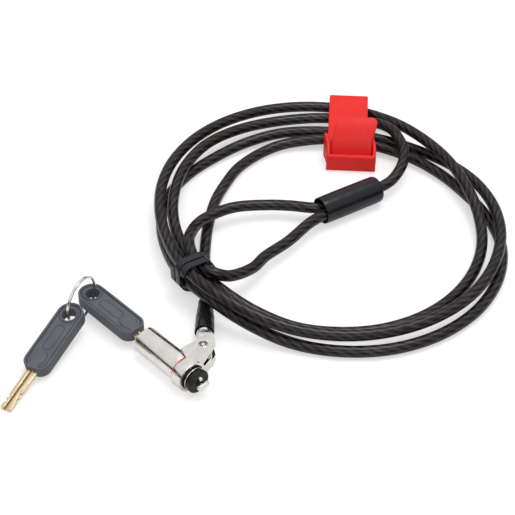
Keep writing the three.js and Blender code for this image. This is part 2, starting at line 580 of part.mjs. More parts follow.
// A key lies along +X, its head from 0 back to -KEY_LENGTH, and its blade ahead of 0.
function buildKey(parent, number) {
  const halfWidth = KEY_WIDTH / 2;
  const half = KEY_THICKNESS / 2;
  const shoulder = [-KEY_SHOULDER_LENGTH * KEY_SHOULDER_BULGE[0],
    halfWidth - KEY_SHOULDER_WIDTH * KEY_SHOULDER_BULGE[1]];
  const plan = new THREE.Shape();
  plan.moveTo(0, -halfWidth + KEY_SHOULDER_WIDTH);
  plan.lineTo(0, halfWidth - KEY_SHOULDER_WIDTH);
  plan.quadraticCurveTo(...shoulder, -KEY_SHOULDER_LENGTH, halfWidth);
  plan.absarc(-KEY_LENGTH + halfWidth, 0, halfWidth, Math.PI / 2, 1.5 * Math.PI);
  plan.lineTo(-KEY_SHOULDER_LENGTH, -halfWidth);
  plan.quadraticCurveTo(shoulder[0], -shoulder[1], 0, -halfWidth + KEY_SHOULDER_WIDTH);
  const margin = KEY_RECESS_MARGIN;
  const recessShape = roundedRectangle(-KEY_HOLE_X + KEY_HOLE_RADIUS + margin,
    -KEY_SHOULDER_LENGTH, -halfWidth + margin, halfWidth - margin, 2);
  const recesses = [half - KEY_RECESS_DEPTH, -half - CUT_OVER].map((z) =>
    solid(raised(recessShape, z, z + KEY_RECESS_DEPTH + CUT_OVER, 5)));
  const flare = KEY_HOLE_RADIUS + KEY_HOLE_CHAMFER;
  const hole = solid(turned([
    [-half - CUT_OVER, 0], [-half - CUT_OVER, flare], [-half, flare],
    [-half + KEY_HOLE_CHAMFER, KEY_HOLE_RADIUS], [half - KEY_HOLE_CHAMFER, KEY_HOLE_RADIUS],
    [half, flare], [half + CUT_OVER, flare], [half + CUT_OVER, 0],
  ], 32).rotateY(-Math.PI / 2).translate(-KEY_HOLE_X, 0, 0));
  const socket = solid(box(-BLADE_ROOT - FIT_GAP, CUT_OVER, -BLADE_WIDTH / 2 - FIT_GAP,
    BLADE_WIDTH / 2 + FIT_GAP, -BLADE_THICKNESS / 2 - FIT_GAP, BLADE_THICKNESS / 2 + FIT_GAP));
  const body = cut(solid(raised(plan, -half, half)), ...recesses, hole, socket);
  add(parent, `key_${number}_head`, body, keySlate);

  const blank = solid(box(-BLADE_ROOT, BLADE_LENGTH, -BLADE_WIDTH / 2, BLADE_WIDTH / 2,
    -BLADE_THICKNESS / 2, BLADE_THICKNESS / 2));
  const groovePlace = BLADE_THICKNESS / 2 - BLADE_GROOVE_DEPTH;
  const grooves = [-1, 1].map((side) => {
    const [near, far] = [side * groovePlace, side * BLADE_THICKNESS];
    return solid(box(1, BLADE_LENGTH + CUT_OVER, -BLADE_GROOVE_WIDTH / 2, BLADE_GROOVE_WIDTH / 2,
      Math.min(near, far), Math.max(near, far)));
  });
  const notches = BLADE_NOTCHES.map(([x, side, deep]) => {
    const edge = side * BLADE_WIDTH / 2;
    const [low, high] = [edge - side * deep, edge + side * CUT_OVER].sort((a, b) => a - b);
    return solid(box(x, x + DISC_THICKNESS, low, high, -BLADE_THICKNESS, BLADE_THICKNESS));
  });
  add(parent, `key_${number}_blade`, cut(blank, ...grooves, ...notches), brass);
}

function buildKeys() {
  const first = new THREE.Group();
  first.position.set(-KEY_STICKOUT, 0, AXIS_HEIGHT);
  root.add(first);
  buildKey(first, 1);

  // The second key hangs on the ring, its blade's tip on the floor.
  const second = new THREE.Group();
  const mover = new THREE.Matrix4().makeRotationFromEuler(
    new THREE.Euler(0, KEY_2_SLOPE, KEY_2_HEADING, "ZYX"));
  const holeOffset = new THREE.Vector3(-KEY_HOLE_X, 0, 0).applyMatrix4(mover);
  second.position.copy(KEY_2_HOLE).sub(holeOffset);
  second.rotation.set(0, KEY_2_SLOPE, KEY_2_HEADING, "ZYX");
  root.add(second);
  buildKey(second, 2);

  const chord = new THREE.Vector3().subVectors(KEY_2_HOLE, KEY_1_HOLE);
  const halfChord = chord.length() / 2 + KEY_RING_OVERREACH;
  const rise = Math.sqrt(KEY_RING_RADIUS ** 2 - halfChord ** 2);
  const level = new THREE.Vector3(chord.y, -chord.x, 0).normalize();
  const upward = new THREE.Vector3().crossVectors(level, chord).normalize();
  const ring = new THREE.Group();
  ring.position.addVectors(KEY_1_HOLE, KEY_2_HOLE).multiplyScalar(0.5);
  ring.position.addScaledVector(upward, rise);
  ring.rotation.z = Math.atan2(level.y, level.x);
  root.add(ring);
  const half = KEY_RING_AXIAL / 2;
  add(ring, "key_ring", tubeX(KEY_RING_RADIUS + KEY_RING_RADIAL / 2,
    KEY_RING_RADIUS - KEY_RING_RADIAL / 2, -half, half, 48), nickel);
}

// ---------------------------------------------------------------- cable

function onRing(radius, bearing, height) {
  return new THREE.Vector3(
    COIL_CENTRE.x + radius * Math.cos(bearing),
    COIL_CENTRE.y + radius * Math.sin(bearing),
    height,
  );
}

// The coil's middle line: three clockwise loops that start and end under the strap.
function coilRoute() {
  const track = new THREE.CatmullRomCurve3(
    COIL_STATIONS.map(([radius, height]) => new THREE.Vector3(radius, height, 0)),
    false,
    "catmullrom",
  );
  const steps = COIL_LOOPS * STEPS_PER_LOOP;
  const points = [];
  for (let i = 0; i <= steps; i += 1) {
    const { x: radius, y: height } = track.getPoint(i / steps);
    const bearing = CLIP_BEARING - (i / STEPS_PER_LOOP) * 2 * Math.PI;
    points.push(onRing(radius, bearing, Math.max(height, CABLE_RADIUS + FLOOR_GAP)));
  }
  const along = new THREE.Vector3(Math.sin(CLIP_BEARING), -Math.cos(CLIP_BEARING), 0);
  const straight = along.clone().multiplyScalar(2 * CABLE_RADIUS);
  const afterStart = points[0].clone().add(straight);
  const beforeEnd = points[steps].clone().sub(straight);
  return [points[0], afterStart, ...points.slice(1, -1), beforeEnd, points[steps]];
}

// The least distance between strands of different loops, less the cable's thickness.
function leastCoilGap(route) {
  const samples = [];
  const perStep = 4;
  for (let i = 0; i + 1 < route.length; i += 1) {
    for (let j = 0; j < perStep; j += 1) {
      samples.push(route[i].clone().lerp(route[i + 1], j / perStep));
    }
  }
  const apart = STEPS_PER_LOOP * perStep / 2;
  let least = Infinity;
  for (let i = 0; i < samples.length; i += 1) {
    for (let j = i + apart; j < samples.length; j += 1) {
      least = Math.min(least, samples[i].distanceTo(samples[j]));
    }
  }
  return least - 2 * CABLE_RADIUS;
}

function coilTube(route) {
  const up = new THREE.Vector3(0, 0, 1);
  const rings = route.map((point, i) => {
    const before = route[Math.max(i - 1, 0)];
    const after = route[Math.min(i + 1, route.length - 1)];
    const along = new THREE.Vector3().subVectors(after, before).normalize();
    const side = new THREE.Vector3().crossVectors(along, up).normalize();
    const over = new THREE.Vector3().crossVectors(side, along);
    return Array.from({ length: COIL_SIDES }, (_, j) => {
      const angle = -((j + 0.5) / COIL_SIDES) * 2 * Math.PI;
      return point.clone()
        .addScaledVector(side, CABLE_RADIUS * Math.cos(angle))
        .addScaledVector(over, CABLE_RADIUS * Math.sin(angle));
    });
  });
  return skinned(rings);
}

function buildCable() {
  const route = coilRoute();
  console.log("least gap between the coil's loops, mm:", leastCoilGap(route).toFixed(2));
  add(root, "cable_coil", coilTube(route), cableBlack);
  add(root, "cable_lead", cableAlong(LEAD_ROUTE, LEAD_STEPS), cableBlack);
  add(root, "cable_tail", cableAlong(TAIL_ROUTE, TAIL_STEPS), cableBlack);
  add(root, "eye_loop", cableAlong(EYE_ROUTE, EYE_STEPS), cableBlack);
}

function buildEyeSleeve() {
  const group = new THREE.Group();
  group.position.copy(EYE_SLEEVE_START);
  group.rotation.z = EYE_SLEEVE_HEADING;
  root.add(group);
  const inner = EYE_SLEEVE_RADIUS - EYE_SLEEVE_WALL;
  const endWall = EYE_SLEEVE_LENGTH - EYE_SLEEVE_END_WALL;
  const cableBore = CABLE_RADIUS + FIT_GAP;
  add(group, "eye_sleeve", turned([
    [0, inner], [0, EYE_SLEEVE_RADIUS], [EYE_SLEEVE_LENGTH - EYE_SLEEVE_EDGE, EYE_SLEEVE_RADIUS],
    [EYE_SLEEVE_LENGTH, EYE_SLEEVE_RADIUS - EYE_SLEEVE_EDGE], [EYE_SLEEVE_LENGTH, cableBore],
    [endWall, cableBore], [endWall, inner], [0, inner],
  ]), sleeveBlack);
  add(group, "eye_crimp", rodX(inner - FIT_GAP, EYE_CRIMP_START, endWall - FIT_GAP), aluminium);
}

// ---------------------------------------------------------------- strap clip

// How far the soft clip has settled sideways at a place along the strap.
function lean(y) {
  return -THREE.MathUtils.clamp((y - CLIP_LEAN_START) * CLIP_LEAN_SLOPE, 0, CLIP_LEAN_MOST);
}

// A ribbon of even width and thickness along points of sideways shift, Y and height.
function ribbon(middle, thickness, x0, x1) {
  return skinned(middle.map((point, i) => {
    const before = middle[Math.max(i - 1, 0)];
    const after = middle[Math.min(i + 1, middle.length - 1)];
    const along = new THREE.Vector2(after.y - before.y, after.z - before.z).normalize();
    const corner = (x, sign) => new THREE.Vector3(point.x + x,
      point.y - sign * along.y * thickness / 2, point.z + sign * along.x * thickness / 2);
    return [corner(x0, 1), corner(x1, 1), corner(x1, -1), corner(x0, -1)];
  }));
}

// Middle line of the strap: under the strands, round the back, over them and down into the
// buckle, then up again as the pull tongue.
function strapLine() {
  const half = STRAP_THICKNESS / 2;
  const low = STRAP_FLOOR_GAP + half;
  const high = STRAP_INNER_HEIGHT + half;
  const bend = (high - low) / 2;
  const bendCentre = STRAP_BACK - half - bend;
  const points = [[BUCKLE_REAR_Y + FIT_GAP, low]];
  for (let i = 0; i <= STRAP_BEND_STEPS; i += 1) {
    const angle = -Math.PI / 2 + (i / STRAP_BEND_STEPS) * Math.PI;
    points.push([bendCentre + bend * Math.cos(angle), low + bend + bend * Math.sin(angle)]);
  }
  points.push(...STRAP_FRONT_RUN);
  const strap = points.map(([y, z]) => new THREE.Vector3(lean(y), y, z));
  return [...strap, ...STRAP_TONGUE.map(([y, z, shift]) => new THREE.Vector3(shift, y, z))];
}

function buildStrapClip() {
  const clip = new THREE.Group();
  clip.position.copy(STRAP_ORIGIN);
  clip.rotation.z = STRAP_HEADING;
  root.add(clip);
  const side = outline([
    [BUCKLE_FRONT_Y + BUCKLE_EDGE, 0], [CLIP_LEAN_START, 0], [BUCKLE_REAR_Y, 0],
    [BUCKLE_REAR_Y, BUCKLE_REAR_HEIGHT - BUCKLE_REAR_EDGE],
    [BUCKLE_REAR_Y - BUCKLE_REAR_EDGE, BUCKLE_REAR_HEIGHT],
    [BUCKLE_FRONT_Y + BUCKLE_EDGE, BUCKLE_FRONT_HEIGHT],
    [BUCKLE_FRONT_Y, BUCKLE_FRONT_HEIGHT - BUCKLE_EDGE], [BUCKLE_FRONT_Y, BUCKLE_EDGE],
  ]);
  const block = solid(stoodUp(raised(side, 0, BUCKLE_WIDTH)));
  const cavity = solid(box(BUCKLE_WALL, BUCKLE_WIDTH - BUCKLE_WALL, BUCKLE_FRONT_Y + BUCKLE_WALL,
    BUCKLE_REAR_Y + CUT_OVER, BUCKLE_FLOOR, BUCKLE_REAR_HEIGHT + CUT_OVER));
  // The walls are cut across where they start to lean, so that each part of them stays flat.
  const buckle = cut(block, cavity);
  const [rear, front] = buckle.splitByPlane([0, 1, 0], CLIP_LEAN_START);
  const leaning = rear.warp((vertex) => {
    vertex[0] += lean(vertex[1]);
  });
  add(clip, "strap_buckle", join(front, leaning), silicone);
  const start = (BUCKLE_WIDTH - STRAP_WIDTH) / 2;
  add(clip, "strap_band", ribbon(strapLine(), STRAP_THICKNESS, start, start + STRAP_WIDTH),
    silicone);
}

// ---------------------------------------------------------------- tie band

// A flat band wound twice round the bundle, close to the strands' common outline, and climbing
// along the bundle as it goes.
function buildTieBand() {
  const along = new THREE.Vector3(Math.sin(BAND_BEARING), -Math.cos(BAND_BEARING), 0);
  const rings = [];
  for (let i = 0; i <= BAND_TURNS * BAND_STEPS; i += 1) {
    const angle = (i / BAND_STEPS) * 2 * Math.PI;
    const facing = new THREE.Vector2(Math.cos(angle), Math.sin(angle));
    const strands = BAND_STRANDS.map((strand) => new THREE.Vector2(...strand));
    const outermost = strands.reduce((a, b) => (b.dot(facing) > a.dot(facing) ? b : a));
    const climb = (i / BAND_STEPS - BAND_TURNS / 2) * BAND_PITCH;
    const place = (depth, shift) => {
      const point = outermost.clone().addScaledVector(facing, CABLE_RADIUS + depth);
      return onRing(point.x, BAND_BEARING, point.y).addScaledVector(along, climb + shift);
    };
    const [inner, outer] = [BAND_CLEARANCE, BAND_CLEARANCE + BAND_THICKNESS];
    rings.push([
      place(outer, -BAND_WIDTH / 2), place(inner, -BAND_WIDTH / 2),
      place(inner, BAND_WIDTH / 2), place(outer, BAND_WIDTH / 2),
    ]);
  }
  add(root, "tie_band", skinned(rings), sleeveBlack);
}

// ---------------------------------------------------------------- assembly

buildBarrel();
buildPlug();
buildNose();
buildYoke();
buildFerrule();
buildKeys();
buildCable();
buildEyeSleeve();
buildStrapClip();
buildTieBand();

// The origin goes to the middle of the footprint of the pieces that aren't on the cable.
const ON_CABLE = ["cable_lead", "cable_coil", "cable_tail", "eye_loop", "eye_crimp", "eye_sleeve",
  "strap_buckle", "strap_band", "tie_band"];
root.updateMatrixWorld(true);
const footprint = new THREE.Box3();
root.traverse((object) => {
  if (object.isMesh && !ON_CABLE.includes(object.name)) footprint.expandByObject(object, true);
});
const centre = footprint.getCenter(new THREE.Vector3());
root.position.set(-centre.x, -centre.y, -footprint.min.z);

export default root;
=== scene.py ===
# %% [markdown]
# # A laptop cable lock, coiled for storage
#
# This lesson builds the look of a small lock: a plated head with a T-shaped nose, two metres of
# jacketed steel cable wound into a coil, a red strap clip, a black tie band, and two keys on a
# split ring. The mechanical frame is loaded first, and every piece made here takes its place
# from that frame, so nothing has to be fitted by eye.

# %% Load the frame
import math

import bmesh
import bpy
import numpy as np
from mathutils import Matrix, Vector


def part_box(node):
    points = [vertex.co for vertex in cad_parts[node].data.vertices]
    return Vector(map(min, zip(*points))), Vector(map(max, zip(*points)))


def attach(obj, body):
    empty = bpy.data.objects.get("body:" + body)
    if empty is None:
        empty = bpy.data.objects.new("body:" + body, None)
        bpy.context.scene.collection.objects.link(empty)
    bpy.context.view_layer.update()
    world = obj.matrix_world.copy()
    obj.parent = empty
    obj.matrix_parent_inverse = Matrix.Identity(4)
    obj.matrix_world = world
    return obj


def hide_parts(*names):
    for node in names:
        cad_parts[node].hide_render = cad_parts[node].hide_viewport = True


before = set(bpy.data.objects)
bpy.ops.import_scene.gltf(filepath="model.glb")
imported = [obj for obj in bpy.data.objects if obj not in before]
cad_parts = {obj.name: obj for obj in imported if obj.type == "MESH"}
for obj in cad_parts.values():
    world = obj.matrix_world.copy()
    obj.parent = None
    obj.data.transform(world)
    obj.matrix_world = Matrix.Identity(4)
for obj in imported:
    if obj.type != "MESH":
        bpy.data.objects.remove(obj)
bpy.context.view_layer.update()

# %% [markdown]
# ## One set of places
#
# The lock was laid out in millimetres, from the point on the table below the barrel's rear end,
# with X along the barrel. A matrix takes such a point to the frame's metres. The same matrix
# then carries smaller frames: the ferrule, each key, the strap clip and the eye's sleeve.

# %% The lock's own frame
MM = 0.001
AXIS_HEIGHT = 6.6  # of the barrel's axis above the table
barrel_low, barrel_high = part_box("lock_barrel")
LOCK_ORIGIN = Vector((barrel_low[0], (barrel_low[1] + barrel_high[1]) / 2, 0))
LOCK = Matrix.Translation(LOCK_ORIGIN) @ Matrix.Scale(MM, 4)


def shifted(place, x, y, z, heading=0.0, tilt=0.0):
    """A smaller frame: moved, then turned about Z and tipped about its own Y, in degrees."""
    turn = Matrix.Rotation(math.radians(heading), 4, "Z")
    tip = Matrix.Rotation(math.radians(tilt), 4, "Y")
    return place @ Matrix.Translation((x, y, z)) @ turn @ tip


HEAD = shifted(LOCK, 0, 0, AXIS_HEIGHT)
PIN_X, PIN_Y = 25.0, 12.7  # the hinge pin, about which the ferrule's tongue turns
FERRULE = shifted(HEAD, PIN_X, PIN_Y, 0, heading=136.6, tilt=4.5)
EYE_SLEEVE = shifted(LOCK, -8.1, 120.3, 7, heading=77.8)
STRAP = shifted(LOCK, -35.3, 151.7, 0, heading=42.7)
print("lock origin, mm:", [round(value / MM, 2) for value in LOCK_ORIGIN])

# %% [markdown]
# ## The camera
#
# The camera comes first. A long lens from 0.7 m keeps the perspective as mild as a product
# photograph's.

# %% Camera
CAMERA_TARGET = LOCK @ Vector((-10.4, 79.3, 0))
CAMERA_AZIMUTH = math.radians(46.5)
CAMERA_ELEVATION = math.radians(42)
CAMERA_DISTANCE = 0.7
FIELD_OF_VIEW = math.radians(20.15)


def linked(name, data):
    """An object for a mesh, curve, lamp or camera, put into the scene."""
    thing = bpy.data.objects.new(name, data)
    bpy.context.scene.collection.objects.link(thing)
    return thing


def aimed(name, data, direction, distance=1):
    """A camera or lamp at a distance from the camera's target, turned to face it."""
    thing = linked(name, data)
    thing.location = CAMERA_TARGET + direction * distance
    thing.rotation_euler = (-direction).to_track_quat("-Z", "Y").to_euler()
    return thing


camera_data = bpy.data.cameras.new("camera")
camera_data.lens = camera_data.sensor_width / 2 / math.tan(FIELD_OF_VIEW / 2)
camera_data.clip_start, camera_data.clip_end = 0.01, 30  # metres
back = Vector((
    math.sin(CAMERA_AZIMUTH) * math.cos(CAMERA_ELEVATION),
    -math.cos(CAMERA_AZIMUTH) * math.cos(CAMERA_ELEVATION),
    math.sin(CAMERA_ELEVATION),
))
bpy.context.scene.camera = aimed("camera", camera_data, back, CAMERA_DISTANCE)
print("lens, mm:", round(camera_data.lens, 1))

# %% [markdown]
# ## Small tools for meshes
#
# Most pieces are a row of rings joined by faces: a tube, a turned part, a strap. One function
# makes such a skin. It also writes a UV map, whose U runs round the piece and whose V runs
# along it, so that a pattern can follow the surface later.

# %% Skin over rings
MERGE_DISTANCE = 1e-7  # metres


def shade(mesh, sharp_from=40):
    """Smooth shading, with edges sharper than an angle left crisp."""
    bm = bmesh.new()
    bm.from_mesh(mesh)
    limit = math.radians(sharp_from)
    for edge in bm.edges:
        edge.smooth = not edge.is_manifold or edge.calc_face_angle(0) < limit
    for face in bm.faces:
        face.smooth = True
    bm.to_mesh(mesh)
    bm.free()


def sealed(bm, mesh):
    """Writes bm to the mesh, with its doubles merged and its faces turned outwards."""
    bmesh.ops.remove_doubles(bm, verts=bm.verts, dist=MERGE_DISTANCE)
    bmesh.ops.recalc_face_normals(bm, faces=bm.faces)
    bm.to_mesh(mesh)
    bm.free()


def arc(radius, start, turn, steps, x=0.0, y=0.0):
    """Points round (x, y), from an angle on by a turn, both in radians."""
    angles = [start + turn * i / steps for i in range(steps + 1)]
    return [(x + radius * math.cos(angle), y + radius * math.sin(angle)) for angle in angles]


def circle(radius, sides):
    return arc(radius, 0, 2 * math.pi, sides)[:-1]


def skin(name, rings, place, closed=False, along=None, sharp_from=40):
    """Closed rings of points joined in a row. closed joins the last ring to the first."""
    count, sides = len(rings), len(rings[0])
    along = along or [i / max(count - 1, 1) for i in range(count)]
    bm = bmesh.new()
    uv_layer = bm.loops.layers.uv.new("UVMap")
    verts = [[bm.verts.new(place @ Vector(point)) for point in ring] for ring in rings]
    for i in range(count if closed else count - 1):
        after = (i + 1) % count
        v0, v1 = along[i], along[after] if after else 1.0
        for j in range(sides):
            k = (j + 1) % sides
            face = bm.faces.new((verts[i][j], verts[i][k], verts[after][k], verts[after][j]))
            corners = ((j, v0), (j + 1, v0), (j + 1, v1), (j, v1))
            for loop, (u, v) in zip(face.loops, corners):
                loop[uv_layer].uv = (u / sides, v)
    if not closed:
        bm.faces.new(verts[0])
        bm.faces.new(reversed(verts[-1]))
    mesh = bpy.data.meshes.new(name)
    sealed(bm, mesh)
    shade(mesh, sharp_from)
    return linked(name, mesh)


# %% [markdown]
# A turned part is a skin whose rings are circles. Its outline is written as distance along the
# axis and radius, and a helper rounds the outline's corners, because no real edge is sharp.

# %% Turned parts
AXIS_RADIUS = 1e-5  # keeps the points of a ring on the axis apart until they are merged
MOST_OF_SIDE = 0.45  # of a side goes to a corner's curve, so that two curves never meet


def bow(start, knee, end, steps):
    """Points of a curve that leaves start towards its knee and comes to end from there."""
    parts = [i / steps for i in range(steps + 1)]
    return [start * (1 - t) ** 2 + knee * 2 * t * (1 - t) + end * t * t for t in parts]


def rounded(outline, radius, steps=4):
    """The outline with each inner corner replaced by a short curve."""
    result = [outline[0]]
    for before, corner, after in zip(outline, outline[1:], outline[2:]):
        before, corner, after = Vector(before), Vector(corner), Vector(after)
        shorter = min((before - corner).length, (after - corner).length)
        reach = min(radius, shorter * MOST_OF_SIDE)
        start = corner + (before - corner).normalized() * reach
        end = corner + (after - corner).normalized() * reach
        result += [tuple(point) for point in bow(start, corner, end, steps)]
    return result + [outline[-1]]


def turned(name, outline, place, sides=96, edge=0.2, sharp_from=40):
    """A closed part turned about X. An outline that ends at radius 0 is closed there."""
    solid_core = outline[0][1] == 0
    if not solid_core:
        half = ((outline[0][0] + outline[-1][0]) / 2, (outline[0][1] + outline[-1][1]) / 2)
        outline = [half, *outline, half]
    outline = rounded(outline, edge)
    if not solid_core:
        outline = outline[:-1]
    rings = [[(x, *point) for point in circle(max(radius, AXIS_RADIUS), sides)]
             for x, radius in outline]
    return skin(name, rings, place, closed=not solid_core, sharp_from=sharp_from)


# %% [markdown]
# ## The cable's route
#
# The cable is one smooth curve: out of the lock's strain relief, under the bundle, round to the
# strap, three times round the coil, and up to the sleeve of the eye. The coil is written as the
# strand's radius and height every 30 degrees. A Catmull-Rom spline passes through every point,
# so the curve goes exactly where it is told.

# %% Route points
CABLE_RADIUS = 2.75
COIL_CENTRE = (-4.2, 119.7)
CLIP_BEARING = 124.0  # of the strap clip, where the coil begins and ends, in degrees
STATIONS_PER_LOOP, STEPS_PER_LOOP = 12, 24
LOWEST_CENTRE = 2.85  # the jacket all but touches the table
COIL_STATIONS = [
    (63.5, 5), (67.5, 4), (74, 3), (86.5, 3), (92.5, 3), (92, 3),
    (86.5, 3.5), (84.5, 11.5), (80.5, 4.5), (81, 3), (75.5, 3), (73, 4.5),
    (70, 5), (75, 4), (80.5, 7.5), (85.5, 9.5), (87.5, 8.5), (85.5, 7.5),
    (84.5, 10.5), (84.5, 17.5), (80.5, 13), (83, 12.5), (88, 10), (93, 6),
    (91, 5), (77, 11), (73, 11), (77, 4.5), (79, 3), (79, 3),
    (76, 3), (75.5, 10), (74, 9.5), (76.5, 9.5), (81.5, 8.5), (83, 5),
    (82.5, 5),
]
LEAD_ROUTE = [
    (5, 31.5, 4.5), (-1, 37.2, 4), (-6.5, 42.2, 4), (-11, 46.2, 4), (-17, 51.3, 4),
    (-24, 57.3, 3.2), (-32, 65, 2.9), (-40, 73.5, 2.9), (-47, 82, 2.9), (-54, 92, 2.9),
    (-59.5, 103, 2.9), (-64.5, 116, 2.9), (-66, 127.5, 2.9), (-65.5, 137.5, 3),
    (-63, 146.5, 3.5), (-57.5, 155.5, 4.3), (-50, 164.5, 5), (-45, 168.8, 5),
]
TAIL_ROUTE = [
    (-46.7, 190.5, 5), (-41, 192.3, 6.5), (-34, 192, 9), (-24.5, 190, 11.5),
    (-17.5, 187, 11.5), (-10.5, 183, 11), (-5, 177, 10), (-1.5, 170, 9), (0, 162.5, 7.5),
    (-0.5, 155.5, 7), (-1.5, 150.7, 7),
]
EYE_ROUTE = [
    (-9.5, 128.3, 7), (-11, 121, 7), (-21, 112.5, 7), (-28.5, 105.5, 7), (-38.5, 89.5, 8.5),
    (-41.5, 74.5, 9), (-40, 67, 10), (-36, 60, 12), (-29.5, 52.5, 15.2), (-23, 48, 16),
    (-15.5, 44.5, 16.2), (-9, 44, 16.2), (-3, 45.5, 16), (0.5, 50.5, 13.5), (1, 65, 9.5),
    (-2, 76.5, 8), (-3, 92.5, 7), (-5.5, 110.5, 7), (-5, 119.5, 7), (-3.6, 127.1, 7),
]


# %% Smooth curves through points
def smooth_curve(points, per_span, power=0.5):
    """Catmull-Rom points. power 0.5 keeps the curve from overshooting, 0 spaces it evenly."""
    points = [np.array(point, float) for point in points]
    points = [2 * points[0] - points[1], *points, 2 * points[-1] - points[-2]]
    result = []
    for p0, p1, p2, p3 in zip(points, points[1:], points[2:], points[3:]):
        d0, d1, d2 = (np.linalg.norm(b - a) ** power for a, b in ((p0, p1), (p1, p2), (p2, p3)))
        t1 = ((p1 - p0) / d0 - (p2 - p0) / (d0 + d1) + (p2 - p1) / d1) * d1
        t2 = ((p2 - p1) / d1 - (p3 - p1) / (d1 + d2) + (p3 - p2) / d2) * d1
        for i in range(per_span):
            t = i / per_span
            result.append(p1 + t1 * t + (3 * (p2 - p1) - 2 * t1 - t2) * t**2
                          + (2 * (p1 - p2) + t1 + t2) * t**3)
    return np.array([*result, points[-2]])


def evenly(points, step):
    """The same line, with points a steady step apart."""
    lengths = np.concatenate([[0], np.cumsum(np.linalg.norm(np.diff(points, axis=0), axis=1))])
    count = max(int(round(lengths[-1] / step)), 2)
    wanted = np.linspace(0, lengths[-1], count + 1)
    return np.stack([np.interp(wanted, lengths, points[:, k]) for k in range(points.shape[1])], 1)


def coil_points():
    """The coil's points every 15 degrees, with a short straight where it meets its neighbours."""
    track = smooth_curve(COIL_STATIONS, STEPS_PER_LOOP // STATIONS_PER_LOOP, power=0)
    points = []
    for i, (radius, height) in enumerate(track):
        bearing = math.radians(CLIP_BEARING - i * 360 / STEPS_PER_LOOP)
        points.append(np.array([COIL_CENTRE[0] + radius * math.cos(bearing),
                                COIL_CENTRE[1] + radius * math.sin(bearing),
                                max(height, LOWEST_CENTRE)]))
    clip = math.radians(CLIP_BEARING)
    straight = np.array([math.sin(clip), -math.cos(clip), 0]) * 2 * CABLE_RADIUS
    return [points[0], points[0] + straight, *points[1:-1], points[-1] - straight, points[-1]]


# %% Cable lines in metres
CABLE_STEP = 1.5  # mm between the rings of the tube


def laid_out(controls, per_span):
    """A smooth line through the control points, in the frame's metres."""
    return [LOCK @ Vector(point)
            for point in evenly(smooth_curve(controls, per_span), CABLE_STEP)]


def length_of(line):
    return sum((b - a).length for a, b in zip(line, line[1:]))


cable_line = laid_out([*LEAD_ROUTE, *coil_points(), *TAIL_ROUTE], 10)
eye_line = laid_out(EYE_ROUTE, 12)
print("cable, m:", round(length_of(cable_line), 3), "eye loop, m:", round(length_of(eye_line), 3))

# %% [markdown]
# ## The cable's tube
#
# The strands under the jacket run in a helix. If the tube's sides twisted at random the helix
# would too, so each ring is carried along from the last with no twist of its own. V counts
# millimetres, which lets the material set the lay of the strands in real sizes.

# %% Tube along a line
def tube(name, line, radius, sides=24):
    """A closed tube with UVs: U once round, V the distance along in millimetres."""
    rings, along, total = [], [], 0.0
    direction = (line[1] - line[0]).normalized()
    side = direction.orthogonal().normalized()
    for i, point in enumerate(line):
        before, after = line[max(i - 1, 0)], line[min(i + 1, len(line) - 1)]
        direction = (after - before).normalized()
        side = (side - direction * side.dot(direction)).normalized()
        over = direction.cross(side)
        total += (point - before).length
        along.append(total / MM)
        rings.append([point + side * a + over * b for a, b in circle(radius, sides)])
    return skin(name, rings, Matrix.Identity(4), along=along, sharp_from=60)


cable = tube("security_cable", cable_line, CABLE_RADIUS * MM)
eye_cable = tube("eye_cable", eye_line, CABLE_RADIUS * MM)
print("cable faces:", len(cable.data.polygons), "eye faces:", len(eye_cable.data.polygons))

# %% [markdown]
# ## Finishes: the tools
#
# Each finish starts from the Principled shader. What is the same all over goes straight on its
# sockets. What varies is driven by noise or by the UV map, through a small helper that adds a
# node, sets it and links it in one line.

# %% Node helpers
def grow(tree, kind, inputs=None, **settings):
    """A node with settings and inputs. A node as an input stands for its first output."""
    node = tree.nodes.new(kind)
    for key, value in settings.items():
        setattr(node, key, value)
    for key, value in (inputs or {}).items():
        if isinstance(value, bpy.types.Node):
            value = value.outputs[0]
        if isinstance(value, bpy.types.NodeSocket):
            tree.links.new(value, node.inputs[key])
        else:
            node.inputs[key].default_value = value
    return node


def arithmetic(tree, operation, *values):
    """A sum on numbers or outputs, by the name of Blender's operation."""
    return grow(tree, "ShaderNodeMath", dict(enumerate(values)), operation=operation).outputs[0]


